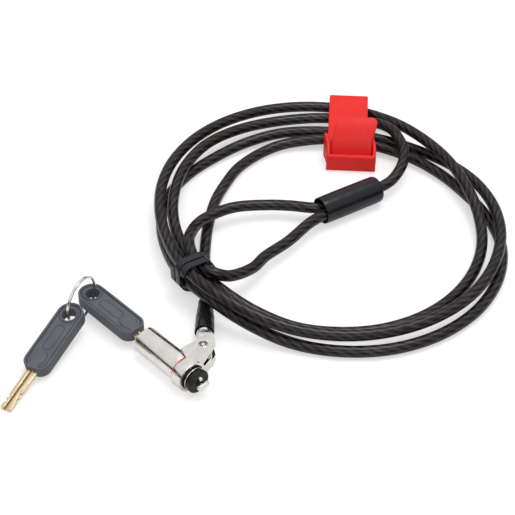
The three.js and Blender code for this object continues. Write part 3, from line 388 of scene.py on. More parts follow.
class Finish:
    """A material under construction."""

    def __init__(self, name, colour, roughness, metallic=0.0, **sockets):
        self.material = bpy.data.materials.new(name)
        self.material.use_nodes = True
        self.tree = self.material.node_tree
        self.shader = self.tree.nodes["Principled BSDF"]
        self.shader.inputs["Base Color"].default_value = (*colour, 1)
        self.shader.inputs["Roughness"].default_value = roughness
        self.shader.inputs["Metallic"].default_value = metallic
        for socket, value in sockets.items():
            self.shader.inputs[socket.replace("_", " ")].default_value = value
        self.coordinates = self.tree.nodes.new("ShaderNodeTexCoord")
        self.material.diffuse_color = (*colour, 1)

    def add(self, kind, inputs=None, **settings):
        return grow(self.tree, "ShaderNode" + kind, inputs, **settings)

    def noise(self, size_mm, detail=3.0, stretch=None, vector=None):
        """Noise whose features are about size_mm, on the piece's own coordinates."""
        vector = vector or self.coordinates.outputs["Object"]
        if stretch:
            vector = self.add("Mapping", {"Vector": vector, "Scale": stretch})
        node = self.add("TexNoise", {"Vector": vector, "Scale": 1 / (size_mm * MM),
                                     "Detail": detail})
        return node.outputs["Fac"]

    def span(self, value, low, high, start=0.3, end=0.7):
        """value from start to end, read as low to high."""
        node = self.add("MapRange", {"Value": value, "From Min": start, "From Max": end,
                                     "To Min": low, "To Max": high})
        return node.outputs["Result"]

    def blend(self, factor, first, second):
        """Two colours mixed. The first may be another node's output."""
        if not isinstance(first, bpy.types.NodeSocket):
            first = (*first, 1)
        node = self.add("Mix", {0: factor, 6: first, 7: (*second, 1)}, data_type="RGBA")
        return node.outputs[2]

    def bump(self, height, depth_mm, strength=1.0):
        node = self.add("Bump", {"Height": height, "Distance": depth_mm * MM,
                                 "Strength": strength})
        self.drive("Normal", node.outputs["Normal"])

    def drive(self, socket, output):
        self.tree.links.new(output, self.shader.inputs[socket])

    def math(self, operation, *values):
        return arithmetic(self.tree, operation, *values)

    def ripple(self, phase, count):
        """0 at each whole part of the phase's turn, 1 half way between, count times a turn."""
        wave = self.math("SINE", self.math("MULTIPLY", phase, count * math.pi))
        return self.math("ABSOLUTE", wave)


# %% [markdown]
# ## The jacketed cable
#
# Six strands of fine wire lie under a smoke-black jacket. The jacket itself is smooth and
# glossy, so the strands belong in the colour, and only a trace of them in the surface. The
# phase of the pattern is U less V over the lay length, so the strands wind to the left.

# %% Cable finish
STRANDS = 6
LAY_LENGTH = 37.0  # mm for one turn of a strand
WIRES = 4  # wires seen across a strand
WIRE_TURNS = 1.4  # turns of a wire the other way, for one turn of a strand
WANDER = 0.12  # how far the strands drift round the cable, in turns
STRAND_DARK, STRAND_LIGHT = (0.002, 0.0014, 0.0013), (0.056, 0.045, 0.042)


def cable_finish():
    finish = Finish("cable_jacket", (0.02, 0.018, 0.016), 0.3, Specular_IOR_Level=0.27,
                    Coat_Weight=0.12, Coat_Roughness=0.12)
    uv = finish.add("SeparateXYZ", {0: finish.coordinates.outputs["UV"]})
    around, along = uv.outputs["X"], uv.outputs["Y"]
    drifting = finish.math("ADD", around, finish.math("MULTIPLY", finish.noise(18), WANDER))
    strand = finish.ripple(
        finish.math("MULTIPLY_ADD", along, -1 / LAY_LENGTH, drifting), STRANDS)
    wire = finish.ripple(
        finish.math("MULTIPLY_ADD", along, WIRE_TURNS / LAY_LENGTH, around), STRANDS * WIRES)
    glints = finish.math("MULTIPLY_ADD", wire, 0.5, 0.5)
    patches = finish.span(finish.noise(5, detail=5), 0.25, 1.3)
    light = finish.math("MULTIPLY", finish.math("POWER", strand, 2.6),
                        finish.math("MULTIPLY", glints, patches))
    finish.drive("Base Color", finish.blend(light, STRAND_DARK, STRAND_LIGHT))
    finish.drive("Roughness", finish.span(finish.noise(14), 0.22, 0.36))
    finish.bump(finish.math("POWER", strand, 0.5), 0.09, 0.7)
    return finish.material


CABLE = cable_finish()
for piece in (cable, eye_cable):
    piece.data.materials.append(CABLE)
print("strand spacing along the cable, mm:", round(LAY_LENGTH / STRANDS, 2))

# %% [markdown]
# ## Where the keys lie
#
# The first key is home in the lock. The second hangs on the ring through its head's hole, with
# the tip of its blade on the table, so it slopes. Their places come before the metals, because
# the brass has marks and a groove along each blade.

# %% Places of the keys
KEY_STICKOUT = 5.2  # bare blade between the barrel and the first head
KEY_HOLE_X = -32.0  # the hole for the ring, from the blade's end of a head
KEY_2_HOLE = Vector((-31.5, -17.7, 9.3))
KEY_2_HEADING, KEY_2_SLOPE = -70.0, 8.8
KEY_1 = shifted(HEAD, -KEY_STICKOUT, 0, 0)
key_2_turn = shifted(Matrix.Identity(4), 0, 0, 0, KEY_2_HEADING, KEY_2_SLOPE)
key_2_root = KEY_2_HOLE - key_2_turn @ Vector((KEY_HOLE_X, 0, 0))
KEY_2 = shifted(LOCK, *key_2_root, KEY_2_HEADING, KEY_2_SLOPE)
print("second key's root, mm:", [round(value, 2) for value in key_2_root])

# %% [markdown]
# ## Metals
#
# The head is bright nickel over cast zinc: nearly a mirror, a little warm, with faint ripples
# that break up reflections. Metal looks like metal through what it reflects, so its colour stays
# plain, apart from painted shade. The inside of the fork's pocket, seen through the slit, is
# painted near-black as shade. Its faces are too large to be picked one by one, so the yoke's
# finish goes dark by place instead. The keys' blades are milled brass, with fine marks and one
# groove along them, and the groove is painted darker as shade.

# %% Nickel, with painted shade in the fork's pocket
NICKEL_LIGHT, NICKEL_DARK = (0.93, 0.9, 0.86), (0.82, 0.785, 0.745)
# A near-black painted shade for the inside of the fork's pocket, and the roughness there.
POCKET_SHADE_COLOUR, POCKET_SHADE_ROUGHNESS = (0.03, 0.028, 0.026), 0.4
POCKET_HALF_HEIGHT = 2.66
FRONT_WALL = ((31.8, 1.0), (28.4, 14.8))  # X and Y of the arm's front face, at its two ends
WALL_SKIN = 0.25  # how far behind the front wall the painted shade begins
COLLAR_SIDE_Y = 7.45


def in_pocket(finish):
    """Where shade is painted: 1 between the fork's plates, beyond the collar and behind the front
    wall, 0 elsewhere.
    """
    at = finish.add("Mapping", {
        "Vector": finish.coordinates.outputs["Object"],
        "Location": -(HEAD.translation / MM), "Scale": (1 / MM,) * 3})
    x, y, z = finish.add("SeparateXYZ", {0: at}).outputs
    (x0, y0), (x1, y1) = FRONT_WALL
    slope = (x1 - x0) / (y1 - y0)
    wall = finish.math("MULTIPLY_ADD", y, slope, x0 - y0 * slope - WALL_SKIN)
    between = finish.math("LESS_THAN", finish.math("ABSOLUTE", z), POCKET_HALF_HEIGHT)
    beyond = finish.math("GREATER_THAN", y, COLLAR_SIDE_Y)
    behind = finish.math("LESS_THAN", x, wall)
    return finish.math("MULTIPLY", finish.math("MULTIPLY", between, beyond), behind)


def nickel_finish(name, shade_part=None):
    """Bright nickel. shade_part gives, for the finish, an output that is 1 where shade is painted.
    """
    finish = Finish(name, (0.8, 0.77, 0.72), 0.16, metallic=1.0)
    colour = finish.blend(finish.span(finish.noise(5), 0, 1), NICKEL_LIGHT, NICKEL_DARK)
    roughness = finish.span(finish.noise(1.6, detail=5), 0.1, 0.26)
    if shade_part:
        shade_weight = shade_part(finish)
        # Painted shade: the pocket's inside goes near-black.
        colour = finish.blend(shade_weight, colour, POCKET_SHADE_COLOUR)
        roughness = finish.math("MULTIPLY_ADD", shade_weight, POCKET_SHADE_ROUGHNESS, roughness)
    finish.drive("Base Color", colour)
    finish.drive("Roughness", roughness)
    finish.bump(finish.noise(0.5, detail=4), 0.012, 0.35)
    return finish.material


NICKEL = nickel_finish("bright_nickel")
YOKE_NICKEL = nickel_finish("yoke_nickel", in_pocket)
print("nickel:", NICKEL.name, YOKE_NICKEL.name)


# %% Brass and steel
GROOVE_OFFSET, GROOVE_HALF = -0.4, 0.45  # the groove's place across the blade and half width
GROOVE_DEPTH = 8  # against the height of the marks


def brass_finish(name, place, heading=0.0):
    """Milled brass, with its marks and one groove along the blade of a key at its place, the
    groove painted dark as shade.
    """
    finish = Finish(name, (0.82, 0.66, 0.42), 0.26, metallic=1.0)
    turned_back = finish.add("VectorRotate", {
        "Vector": finish.coordinates.outputs["Object"], "Center": place.translation,
        "Angle": -math.radians(heading)}, rotation_type="Z_AXIS")
    marks = finish.noise(0.45, stretch=(0.05, 1, 1), vector=turned_back)
    axes = finish.add("SeparateXYZ", {0: turned_back})
    across = finish.math("ABSOLUTE", finish.math(
        "SUBTRACT", axes.outputs["Y"], place.translation.y + GROOVE_OFFSET * MM))
    groove = finish.span(across, 1, 0, 0.7 * GROOVE_HALF * MM, 1.3 * GROOVE_HALF * MM)
    finish.drive("Roughness", finish.span(marks, 0.2, 0.36))
    tone = finish.blend(finish.span(marks, 0, 0.5), (0.9, 0.75, 0.52), (0.66, 0.48, 0.26))
    # The groove is painted dark: painted shade along the groove.
    finish.drive("Base Color", finish.blend(groove, tone, (0.3, 0.19, 0.08)))
    finish.bump(finish.math("MULTIPLY_ADD", groove, -GROOVE_DEPTH, marks), 0.03, 0.5)
    return finish.material


def steel_finish(name, colour, roughness):
    finish = Finish(name, colour, roughness, metallic=1.0)
    marks = finish.noise(0.4, detail=4)
    finish.drive("Roughness", finish.span(marks, roughness - 0.08, roughness + 0.12))
    finish.bump(marks, 0.01, 0.4)
    return finish.material


BRASS = brass_finish("milled_brass", KEY_1)
KEY_2_BRASS = brass_finish("milled_brass_2", KEY_2, KEY_2_HEADING)
DARK_STEEL = steel_finish("machined_steel", (0.42, 0.42, 0.43), 0.36)
ALUMINIUM = steel_finish("pressed_aluminium", (0.72, 0.73, 0.74), 0.4)
# A dark metal that paints shade into the hinge pin's groove.
PIN_GROOVE_SHADE = steel_finish("pin_groove_shade", (0.11, 0.105, 0.1), 0.5)
print("other metals:", [m.name for m in (BRASS, KEY_2_BRASS, DARK_STEEL, ALUMINIUM, PIN_GROOVE_SHADE)])

# %% [markdown]
# ## Plastics and rubbers
#
# The strap is soft silicone: light soaks in a little, which keeps its shaded side warm. The
# key heads are matte grey with a fine spark-eroded grain. The sleeves and the tie band are
# glossy and blue-black, and the bumper is plain matte rubber.

# %% Soft finishes
def plastic(name, colour, shadow, roughness, grain_mm, grain_depth, crease_shade_colour=None,
            **sockets):
    """A moulded finish: a colour that drifts towards its shadow tone, and a fine grain.

    crease_shade_colour is painted shade in grooves and creases, where the piece has a
    "crease_shade" attribute.
    """
    finish = Finish(name, colour, roughness, **sockets)
    drift = finish.span(finish.noise(6), 0, 1)
    tone = finish.blend(drift, colour, shadow)
    if crease_shade_colour:
        crease_shade = finish.add("Attribute", attribute_name="crease_shade").outputs["Fac"]
        tone = finish.blend(crease_shade, tone, crease_shade_colour)
    finish.drive("Base Color", tone)
    grain = finish.noise(grain_mm, detail=2)
    finish.drive("Roughness", finish.span(grain, roughness - 0.05, roughness + 0.08))
    finish.bump(grain, grain_depth, 0.5)
    return finish.material


SILICONE = plastic("red_silicone", (0.92, 0.03, 0.025), (0.86, 0.022, 0.02), 0.45, 0.5, 0.008,
                   Subsurface_Weight=0.12, Subsurface_Radius=(0.003, 0.0006, 0.0005),
                   Specular_IOR_Level=0.25)
# The darker crease colour of the key plastic is painted shade in the heads' grooves and creases.
KEY_PLASTIC = plastic("slate_key_plastic", (0.125, 0.13, 0.155), (0.1, 0.105, 0.128), 0.5, 0.3,
                      0.03, crease_shade_colour=(0.02, 0.021, 0.026), Specular_IOR_Level=0.35)
SLEEVE_BLACK = plastic("shrink_sleeve", (0.01, 0.0105, 0.015), (0.006, 0.0065, 0.009), 0.26, 3.0,
                       0.05, Specular_IOR_Level=0.3, Coat_Weight=0.15, Coat_Roughness=0.1)
BAND_RUBBER = plastic("tie_band_rubber", (0.014, 0.015, 0.024), (0.009, 0.01, 0.015), 0.3, 1.5,
                      0.03, Specular_IOR_Level=0.35, Coat_Weight=0.15, Coat_Roughness=0.2)
BUMPER_RUBBER = plastic("bumper_rubber", (0.009, 0.009, 0.01), (0.006, 0.006, 0.007), 0.42, 0.4,
                        0.02, Specular_IOR_Level=0.35)
RING_RED = plastic("red_ring_plastic", (0.85, 0.03, 0.02), (0.7, 0.02, 0.015), 0.35, 0.5, 0.01)
print("soft finishes:", [m.name for m in (SILICONE, KEY_PLASTIC, SLEEVE_BLACK, BAND_RUBBER)])

# %% [markdown]
# ## Bodies and hidden solids
#
# Each finished piece rides on a body of the frame and stands for a node of it. One call settles
# both, so that none is forgotten.

# %% Settle a piece
SETTLED = []


def settle(piece, body, slot, material, *nodes):
    """Gives a piece its finish, its body and the nodes that it stands for; its slot is not used.
    """
    if not piece.data.materials:
        piece.data.materials.append(material)
    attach(piece, body)
    if nodes:
        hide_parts(*nodes)
    SETTLED.append(piece.name)
    print(piece.name, "faces:", len(piece.data.polygons))


settle(cable, "cable", "cable_jacket", CABLE, "cable_lead", "cable_coil", "cable_tail")
settle(eye_cable, "cable", "cable_jacket", CABLE, "eye_loop")

# %% [markdown]
# ## From plain solid to finished part
#
# The barrel, the yoke and other cast or turned parts already have the right shape in the frame.
# What they lack is soft edges, which is where plated metal catches light. So each is copied,
# its triangles are merged back into whole faces, and its edges get a small bevel.

# %% Copies with soft edges
NODE_MERGE = 2e-6  # metres
FLAT_ANGLE, BEVEL_ANGLE = math.radians(1), math.radians(28)


def modify(piece, kind, **settings):
    modifier = piece.modifiers.new(kind.lower(), kind)
    for key, value in settings.items():
        setattr(modifier, key, value)
    return modifier


def evaluated(piece):
    """The mesh that an object's curve or modifiers make."""
    return bpy.data.meshes.new_from_object(
        piece.evaluated_get(bpy.context.evaluated_depsgraph_get()))


def softened(node, name, width_mm, segments=3, sharp_from=40):
    """A copy of a node's mesh with bevelled edges."""
    bm = bmesh.new()
    bm.from_mesh(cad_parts[node].data)
    bmesh.ops.remove_doubles(bm, verts=bm.verts, dist=NODE_MERGE)
    bmesh.ops.dissolve_degenerate(bm, edges=bm.edges, dist=NODE_MERGE)
    bmesh.ops.dissolve_limit(bm, angle_limit=FLAT_ANGLE, verts=bm.verts, edges=bm.edges)
    mesh = bpy.data.meshes.new(name)
    bm.to_mesh(mesh)
    bm.free()
    piece = linked(name, mesh)
    modify(piece, "BEVEL", width=width_mm * MM, segments=segments, limit_method="ANGLE",
           angle_limit=BEVEL_ANGLE, use_clamp_overlap=True, miter_outer="MITER_ARC")
    piece.data = evaluated(piece)
    piece.modifiers.clear()
    shade(piece.data, sharp_from)
    return piece


# %% [markdown]
# ## The barrel and its nose
#
# The barrel is a plated cylinder with two flats. In front of it come a thin red ring, the yoke's
# collar, a thin washer, the rubber bumper, and last the T-bar with its two guide pegs.

# %% Barrel, yoke, pegs and blades
for node, name, bevel, body, material, slot in (
    ("lock_barrel", "barrel_shell", 0.35, "barrel", NICKEL, "nickel_plate"),
    ("t_bar", "t_bar_bright", 0.2, "plug", NICKEL, "nickel_plate"),
    ("twist_peg_upper", "guide_peg_upper", 0.25, "barrel", NICKEL, "nickel_plate"),
    ("twist_peg_lower", "guide_peg_lower", 0.25, "barrel", NICKEL, "nickel_plate"),
    ("yoke", "yoke_casting", 0.35, "yoke", YOKE_NICKEL, "nickel_plate"),
    ("cable_ferrule", "ferrule_tongue", 0.25, "cable", NICKEL, "nickel_plate"),
    ("key_1_blade", "key_1_bit", 0.12, "key_1", BRASS, "brass"),
    ("key_2_blade", "key_2_bit", 0.12, "key_2", KEY_2_BRASS, "brass"),
):
    settle(softened(node, name, bevel), body, slot, material, node)

# %% [markdown]
# The hinge pin is spread at both ends, which leaves a ring round a small dome, with a groove
# between them whose dark colour is painted shade.

# %% Hinge pin
PIN_HALF, PIN_RADIUS = 6.55, 1.9
GROOVE_FROM, GROOVE_TO = 0.96, 1.54  # radii of the groove's faces that get the painted shade
PIN_END = [(0, 0), (0, 0.95), (0.5, 1.0), (0.5, 1.5), (0, 1.55), (0.15, PIN_RADIUS)]
PIN = shifted(HEAD, PIN_X, PIN_Y, 0, tilt=90)
pin_outline = [(-PIN_HALF + x, radius) for x, radius in PIN_END]
pin_outline += [(-x, radius) for x, radius in reversed(pin_outline)]
pin = turned("hinge_pin_end", pin_outline, PIN, edge=0.06)
# The groove's faces take the dark finish: painted shade in the groove.
for material in (NICKEL, PIN_GROOVE_SHADE):
    pin.data.materials.append(material)
to_pin = PIN.inverted()
for face in pin.data.polygons:
    x, y, z = to_pin @ face.center
    if GROOVE_FROM < math.hypot(y, z) < GROOVE_TO and abs(x) < PIN_HALF - 0.1:
        face.material_index = 1
settle(pin, "yoke", "nickel_plate", NICKEL, "hinge_pin")

# %% [markdown]
# The rings, the washer and the bumper are turned round the barrel's axis from their outlines.

# %% Rings, washer and bumper
for name, outline, edge, slot, material, node in (
    ("signal_ring", [(25.2, 4.65), (25.2, 6.55), (25.9, 6.55), (25.9, 4.65)], 0.1,
     "red_silicone", RING_RED, "red_ring"),
    ("nose_gasket", [(30.7, 4.65), (30.7, 5.8), (32.1, 5.8), (32.1, 4.65)], 0.15,
     "black_rubber", BUMPER_RUBBER, "nose_seal"),
    ("nose_disc", [(32.8, 1.45), (32.8, 5.5), (33.2, 5.5), (33.2, 1.45)], 0.1,
     "nickel_plate", NICKEL, "nose_washer"),
    ("bumper_pad", [(33.4, 1.45), (33.4, 4.7), (34.25, 4.7), (34.35, 5.65), (36.1, 5.65),
                    (36.6, 5.15), (36.6, 3.9), (36.3, 3.9), (36.3, 1.45)], 0.3,
     "black_rubber", BUMPER_RUBBER, "rubber_bumper"),
):
    settle(turned(name, outline, HEAD, edge=edge), "barrel", slot, material, node)

# %% [markdown]
# ## Sleeves
#
# Heat-shrink sleeve grips what is under it, so its outline follows the crimp inside: a swelling
# where the crimp sits and a waist where it ends. A slow ripple along the outline keeps the
# reflection from being ruler-straight.

# %% Strain relief and eye sleeve
SLEEVE_WALL = 0.42
RIPPLE, RIPPLE_FAST, RIPPLE_SLOW = 0.06, 0.9, 0.23  # depth in mm, and two rates in radians a mm


def shrink_outline(stations, wall, steps=28):
    """A closed outline of outer radii with a steady wall, from (x, radius) stations."""
    xs, radii = zip(*stations)
    outer = []
    for i in range(steps + 1):
        x = xs[0] + (xs[-1] - xs[0]) * i / steps
        wave = RIPPLE * math.sin(x * RIPPLE_FAST) * math.sin(x * RIPPLE_SLOW)
        outer.append((x, float(np.interp(x, xs, radii)) + wave))
    return outer + [(x, radius - wall) for x, radius in reversed(outer)]


RELIEF_STATIONS = [(15, 4.5), (18, 4.45), (25, 4.3), (28, 3.95), (32, 3.6), (36, 3.45)]
EYE_OUTLINE = [
    (0, 6.3), (0, 6.75), (2, 6.85), (10, 6.9), (22, 6.85), (30, 6.8), (32.6, 6.7), (33.7, 6.0),
    (33.7, 3.05), (31.2, 3.05), (31.0, 6.2),
]
relief = turned("strain_relief", shrink_outline(RELIEF_STATIONS, SLEEVE_WALL), FERRULE, edge=0.15)
eye_sleeve = turned("eye_sleeve_tube", EYE_OUTLINE, EYE_SLEEVE, edge=0.5)
settle(relief, "cable", "black_sleeve", SLEEVE_BLACK, "ferrule_sleeve")
settle(eye_sleeve, "cable", "black_sleeve", SLEEVE_BLACK, "eye_sleeve")

# %% [markdown]
# ## Key heads
#
# A key head is moulded plastic: a plate with a hole, softened all over, with a raised rim, a
# thumb boss at the blade's end, and a shallow panel. It starts as a filled curve with a hole,
# remeshed into small even cells and smoothed. Each point of its two faces is then raised or
# sunk.

# %% Plate with a hole
KEY_LENGTH = 39.0
KEY_HALF_WIDTH = 6.25
KEY_THICKNESS = 6.0
KEY_HOLE_RADIUS = 3.3
KEY_SHOULDER = (4.5, 3.4)  # length and width of the rounded shoulders at the blade
KEY_SHOULDER_BULGE = (0.25, 0.1)  # parts of them cut off at the curve's knee


def key_outline(steps=32):
    """Counter-clockwise outline of the head, from the blade's end."""
    length, width = KEY_SHOULDER
    cut_length, cut_width = KEY_SHOULDER_BULGE
    shoulder = bow(Vector((0, KEY_HALF_WIDTH - width)),
                   Vector((-length * cut_length, KEY_HALF_WIDTH - width * cut_width)),
                   Vector((-length, KEY_HALF_WIDTH)), 10)
    upper = [tuple(point) for point in shoulder]
    round_end = arc(KEY_HALF_WIDTH, math.pi / 2, math.pi, steps, KEY_HALF_WIDTH - KEY_LENGTH)
    return [*upper, *round_end, *((x, -y) for x, y in reversed(upper))]


def filled_plate(loops, half_thickness):
    """A mesh plate from closed loops of points, inner loops being holes."""
    curve = bpy.data.curves.new("plate", "CURVE")
    curve.dimensions = "2D"
    curve.fill_mode = "BOTH"
    curve.extrude = half_thickness
    for loop in loops:
        spline = curve.splines.new("POLY")
        spline.points.add(len(loop) - 1)
        for point, (x, y) in zip(spline.points, loop):
            point.co = (x, y, 0, 1)
        spline.use_cyclic_u = True
    holder = linked("plate", curve)
    mesh = evaluated(holder)
    bpy.data.objects.remove(holder)
    return mesh


# %% Relief of a key head
def distance_to(points, x, y):
    """How far inside a closed outline each point lies."""
    best = np.full(x.shape, 1e9)
    for (ax, ay), (bx, by) in zip(points, points[1:] + points[:1]):
        dx, dy = bx - ax, by - ay
        t = np.clip(((x - ax) * dx + (y - ay) * dy) / (dx * dx + dy * dy), 0, 1)
        best = np.minimum(best, np.hypot(x - ax - t * dx, y - ay - t * dy))
    return best


def step(value, edge, soft=0.22):
    """0 below the edge, 1 above it, with a soft foot."""
    t = np.clip((value - edge) / soft + 0.5, 0, 1)
    return t * t * (3 - 2 * t)


def oval(x, y, centre, half_length, half_width):
    """1 inside an oval on the head's middle line, 0 outside."""
    return 1 - step(np.hypot((x - centre) / half_length, y / half_width), 1, soft=0.1)


def ridge(value, middle, width):
    """1 at the middle, falling smoothly to 0 on both sides."""
    return np.exp(-((value - middle) / width) ** 2)


BOSS_OVALS = ((-6.2, 4.4, 3.5), (1.0, 5.5, 3.0))  # middle, half length and half width
FIELD_INSET, GROOVE_INSET = 1.5, 1.35  # from the head's outline
HOLE_RIM = 1.0
PANEL_MIDDLE, PANEL_HALF, PANEL_ROUND = -18.5, 5.0, 2.2


def head_relief(x, y):
    """The moulded face's height above the plate, in millimetres, and how much shade is painted
    there in grooves and creases.
    """
    inside = distance_to(key_outline(), x, y)
    hole = np.hypot(x - KEY_HOLE_X, y) - KEY_HOLE_RADIUS
    boss = np.maximum(*(oval(x, y, *sizes) for sizes in BOSS_OVALS))
    field = step(inside, FIELD_INSET) * step(hole, HOLE_RIM) * (1 - boss)
    groove = ridge(inside, GROOVE_INSET, 0.26) * step(hole, HOLE_RIM - 0.1) * (1 - boss)
    panel = np.hypot(np.maximum(np.abs(x - PANEL_MIDDLE) - PANEL_HALF, 0), y)
    line = ridge(panel, PANEL_ROUND, 0.24)
    rim = ridge(hole, HOLE_RIM, 0.2)
    edge = ridge(boss, 0.5, 0.3) * step(inside, 0.6)
    height = 0.12 * boss - 0.5 * field - 0.35 * groove - 0.28 * line
    # The second value weights painted shade: the grooves, the panel line, the hole's rim and the
    # boss's edge.
    return height, np.clip(groove + 0.5 * line + 0.6 * rim + 0.6 * edge, 0, 1)


# %% Moulded key heads
CELL = 0.21
SMOOTH_ROUNDS = 4
SKIN = 0.1  # left off the plate, because the relief and the cells add to it
RELIEF_FROM, RELIEF_FADE = 2.2, 0.5  # height at which the relief begins, and how soon it is full


def moulded_head(name, place):
    hole = [(KEY_HOLE_X + x, -y) for x, y in circle(KEY_HOLE_RADIUS, 48)]
    piece = linked(name, filled_plate([key_outline(), hole], KEY_THICKNESS / 2 - SKIN))
    modify(piece, "REMESH", mode="VOXEL", voxel_size=CELL)
    modify(piece, "SMOOTH", iterations=SMOOTH_ROUNDS, factor=0.5)
    mesh = piece.data = evaluated(piece)
    piece.modifiers.clear()
    points = np.empty(len(mesh.vertices) * 3)
    mesh.vertices.foreach_get("co", points)
    points = points.reshape(-1, 3)
    face = np.clip((np.abs(points[:, 2]) - RELIEF_FROM) / RELIEF_FADE, 0, 1)
    height, crease_shade = head_relief(points[:, 0], points[:, 1])
    points[:, 2] += np.sign(points[:, 2]) * face * height
    mesh.vertices.foreach_set("co", points.ravel())
    # The painted-shade weight is stored on the points, for the finish.
    mesh.attributes.new("crease_shade", "FLOAT", "POINT").data.foreach_set("value", crease_shade * face)
    mesh.transform(place)
    shade(mesh, sharp_from=180)
    return piece


for number, place in ((1, KEY_1), (2, KEY_2)):
    settle(moulded_head(f"key_{number}_grip", place), f"key_{number}", "key_plastic",
           KEY_PLASTIC, f"key_{number}_head")

# %% [markdown]
# ## The split ring, by Geometry Nodes
#
# A split ring is a flat wire wound twice. That is a rule, not a drawing, so a node tree makes
# it: a spiral with no change of radius, its normals held to one side so that the wire doesn't
# roll, and a small rounded rectangle swept along it. The sizes are inputs of the tree.

# %% Node tree helpers
def new_tree(name, sizes):
    """An empty tree with a geometry input and output, and these sizes as named inputs."""
    tree = bpy.data.node_groups.new(name, "GeometryNodeTree")
    tree.interface.new_socket("Geometry", in_out="INPUT", socket_type="NodeSocketGeometry")
    tree.interface.new_socket("Geometry", in_out="OUTPUT", socket_type="NodeSocketGeometry")
    for label, value in sizes.items():
        socket = tree.interface.new_socket(label, in_out="INPUT", socket_type="NodeSocketFloat")
        socket.default_value = value
    start = tree.nodes.new("NodeGroupInput")
    end = tree.nodes.new("NodeGroupOutput")
    return tree, start, end


def wire_profile(tree, width, thickness, fillet):
    """A small rectangle with rounded corners, to sweep along a curve."""
    flat = grow(tree, "GeometryNodeCurvePrimitiveQuadrilateral",
                {"Width": width, "Height": thickness})
    return grow(tree, "GeometryNodeFilletCurve",
                {"Curve": flat, "Radius": fillet, "Count": 3}, mode="POLY")


def sweep_to_end(tree, end, curve, profile, material):
    """Sweeps the profile along the curve and paints it, as the tree's result."""
    swept = grow(tree, "GeometryNodeCurveToMesh",
                 {"Curve": curve, "Profile Curve": profile, "Fill Caps": True})
    real = grow(tree, "GeometryNodeRealizeInstances", {"Geometry": swept})
    painted = grow(tree, "GeometryNodeSetMaterial", {"Geometry": real, "Material": material})
    tree.links.new(painted.outputs["Geometry"], end.inputs["Geometry"])


def grown(name, holder, tree, sizes):
    """Runs the tree on a holder with these sizes, and returns the result as a plain mesh."""
    modifier = modify(holder, "NODES", node_group=tree)
    sockets = {item.name: item.identifier for item in tree.interface.items_tree
               if item.in_out == "INPUT"}
    for label, value in sizes.items():
        modifier[sockets[label]] = value
    mesh = evaluated(holder)
    bpy.data.objects.remove(holder)
    mesh.name = name
    bm = bmesh.new()
    bm.from_mesh(mesh)
    sealed(bm, mesh)
    return linked(name, mesh)


# %% Split ring tree
RING_RADIUS = 11.0
RING_PITCH = 0.0009  # of the wire's turns, in metres, as all sizes of a tree
WIRE_FILLET = 0.00022
RING_SIZES = {"Radius": RING_RADIUS * MM, "Pitch": RING_PITCH, "Turns": 2.0,
              "WireWidth": 0.00095, "WireHeight": 0.00085}

ring_tree, start, end = new_tree("split_ring", RING_SIZES)
sizes = start.outputs
spiral = grow(ring_tree, "GeometryNodeCurveSpiral", {
    "Resolution": 90, "Rotations": sizes["Turns"], "Start Radius": sizes["Radius"],
    "End Radius": sizes["Radius"], "Height": sizes["Pitch"]})
upright = grow(ring_tree, "GeometryNodeSetCurveNormal", {"Curve": spiral}, mode="Z_UP")
profile = wire_profile(ring_tree, sizes["WireWidth"], sizes["WireHeight"], WIRE_FILLET)
sweep_to_end(ring_tree, end, upright, profile, NICKEL)
print("ring tree nodes:", len(ring_tree.nodes))


# %% Its place through both holes
RING_OVERREACH = 0.55  # mm past each hole's centre
WIRE_END = 240  # degrees round the ring to the wire's ends
KEY_1_HOLE = Vector((KEY_HOLE_X - KEY_STICKOUT, 0, AXIS_HEIGHT))
chord = KEY_2_HOLE - KEY_1_HOLE
rise = math.sqrt(RING_RADIUS**2 - (chord.length / 2 + RING_OVERREACH) ** 2)
level = Vector((chord.y, -chord.x, 0)).normalized()
ring_centre = (KEY_1_HOLE + KEY_2_HOLE) / 2 + level.cross(chord).normalized() * rise
RING = shifted(Matrix.Identity(4), *(LOCK @ ring_centre),
               heading=math.degrees(math.atan2(level.y, level.x)), tilt=90)
key_ring = grown("split_ring", linked("ring_holder", bpy.data.meshes.new("ring_holder")),
                 ring_tree, RING_SIZES)
key_ring.data.transform(shifted(RING, 0, 0, -RING_PITCH / 2, heading=WIRE_END))
shade(key_ring.data, sharp_from=35)
settle(key_ring, "ring", "nickel_plate", NICKEL, "key_ring")

# %% [markdown]
# ## The strap clip
#
# The clip is one silicone moulding. Its strap passes under the strands, bends round behind them,
# comes back over the top and dives into a small open box in front, and its end stands up as a
# pull tongue. The box is the frame's own solid with soft edges. The strap is a flat section
# swept along its middle line, and the section narrows towards the tongue's tip.

# %% Buckle box
settle(softened("strap_buckle", "strap_box", 0.8, segments=4), "cable", "red_silicone", SILICONE,
       "strap_buckle")

# %% Strap
STRAP_HALF_WIDTH = 10.3
STRAP_X = 12.7  # middle of the strap, across the clip
STRAP_THICKNESS = 1.7
TIP_RADIUS, TIP_FLARE, TIP_FLARE_LENGTH = 3.6, 0.5, 12  # the tongue widens towards its tip
TIP_THINNED = 0.72  # part of the thickness left at the very tip
STRAP_LOW, STRAP_HIGH, STRAP_BACK = 0.95, 10.45, 53.55  # heights of the two runs, and the bend
STRAP_STEP, LAST_STEP = 0.6, 0.05  # the last keeps the end section from closing to nothing
STRAP_CORNER = 0.8  # of the half thickness
CLIP_LEAN_START, CLIP_LEAN_SLOPE, CLIP_LEAN_MOST = 5, 0.25, 2.2
STRAP_FRONT = [
    (20, 10.45), (15.5, 10.15), (12.2, 8.65), (9.8, 5.85), (7.6, 3.6), (5.6, 2.7), (3.8, 3.6),
]
STRAP_TONGUE = [
    (0, 3.2, 6), (0, 3.7, 9), (0.05, 4.8, 12), (0.35, 6.8, 15.2), (1.6, 10.6, 19),
    (2.6, 16, 22.4),
]


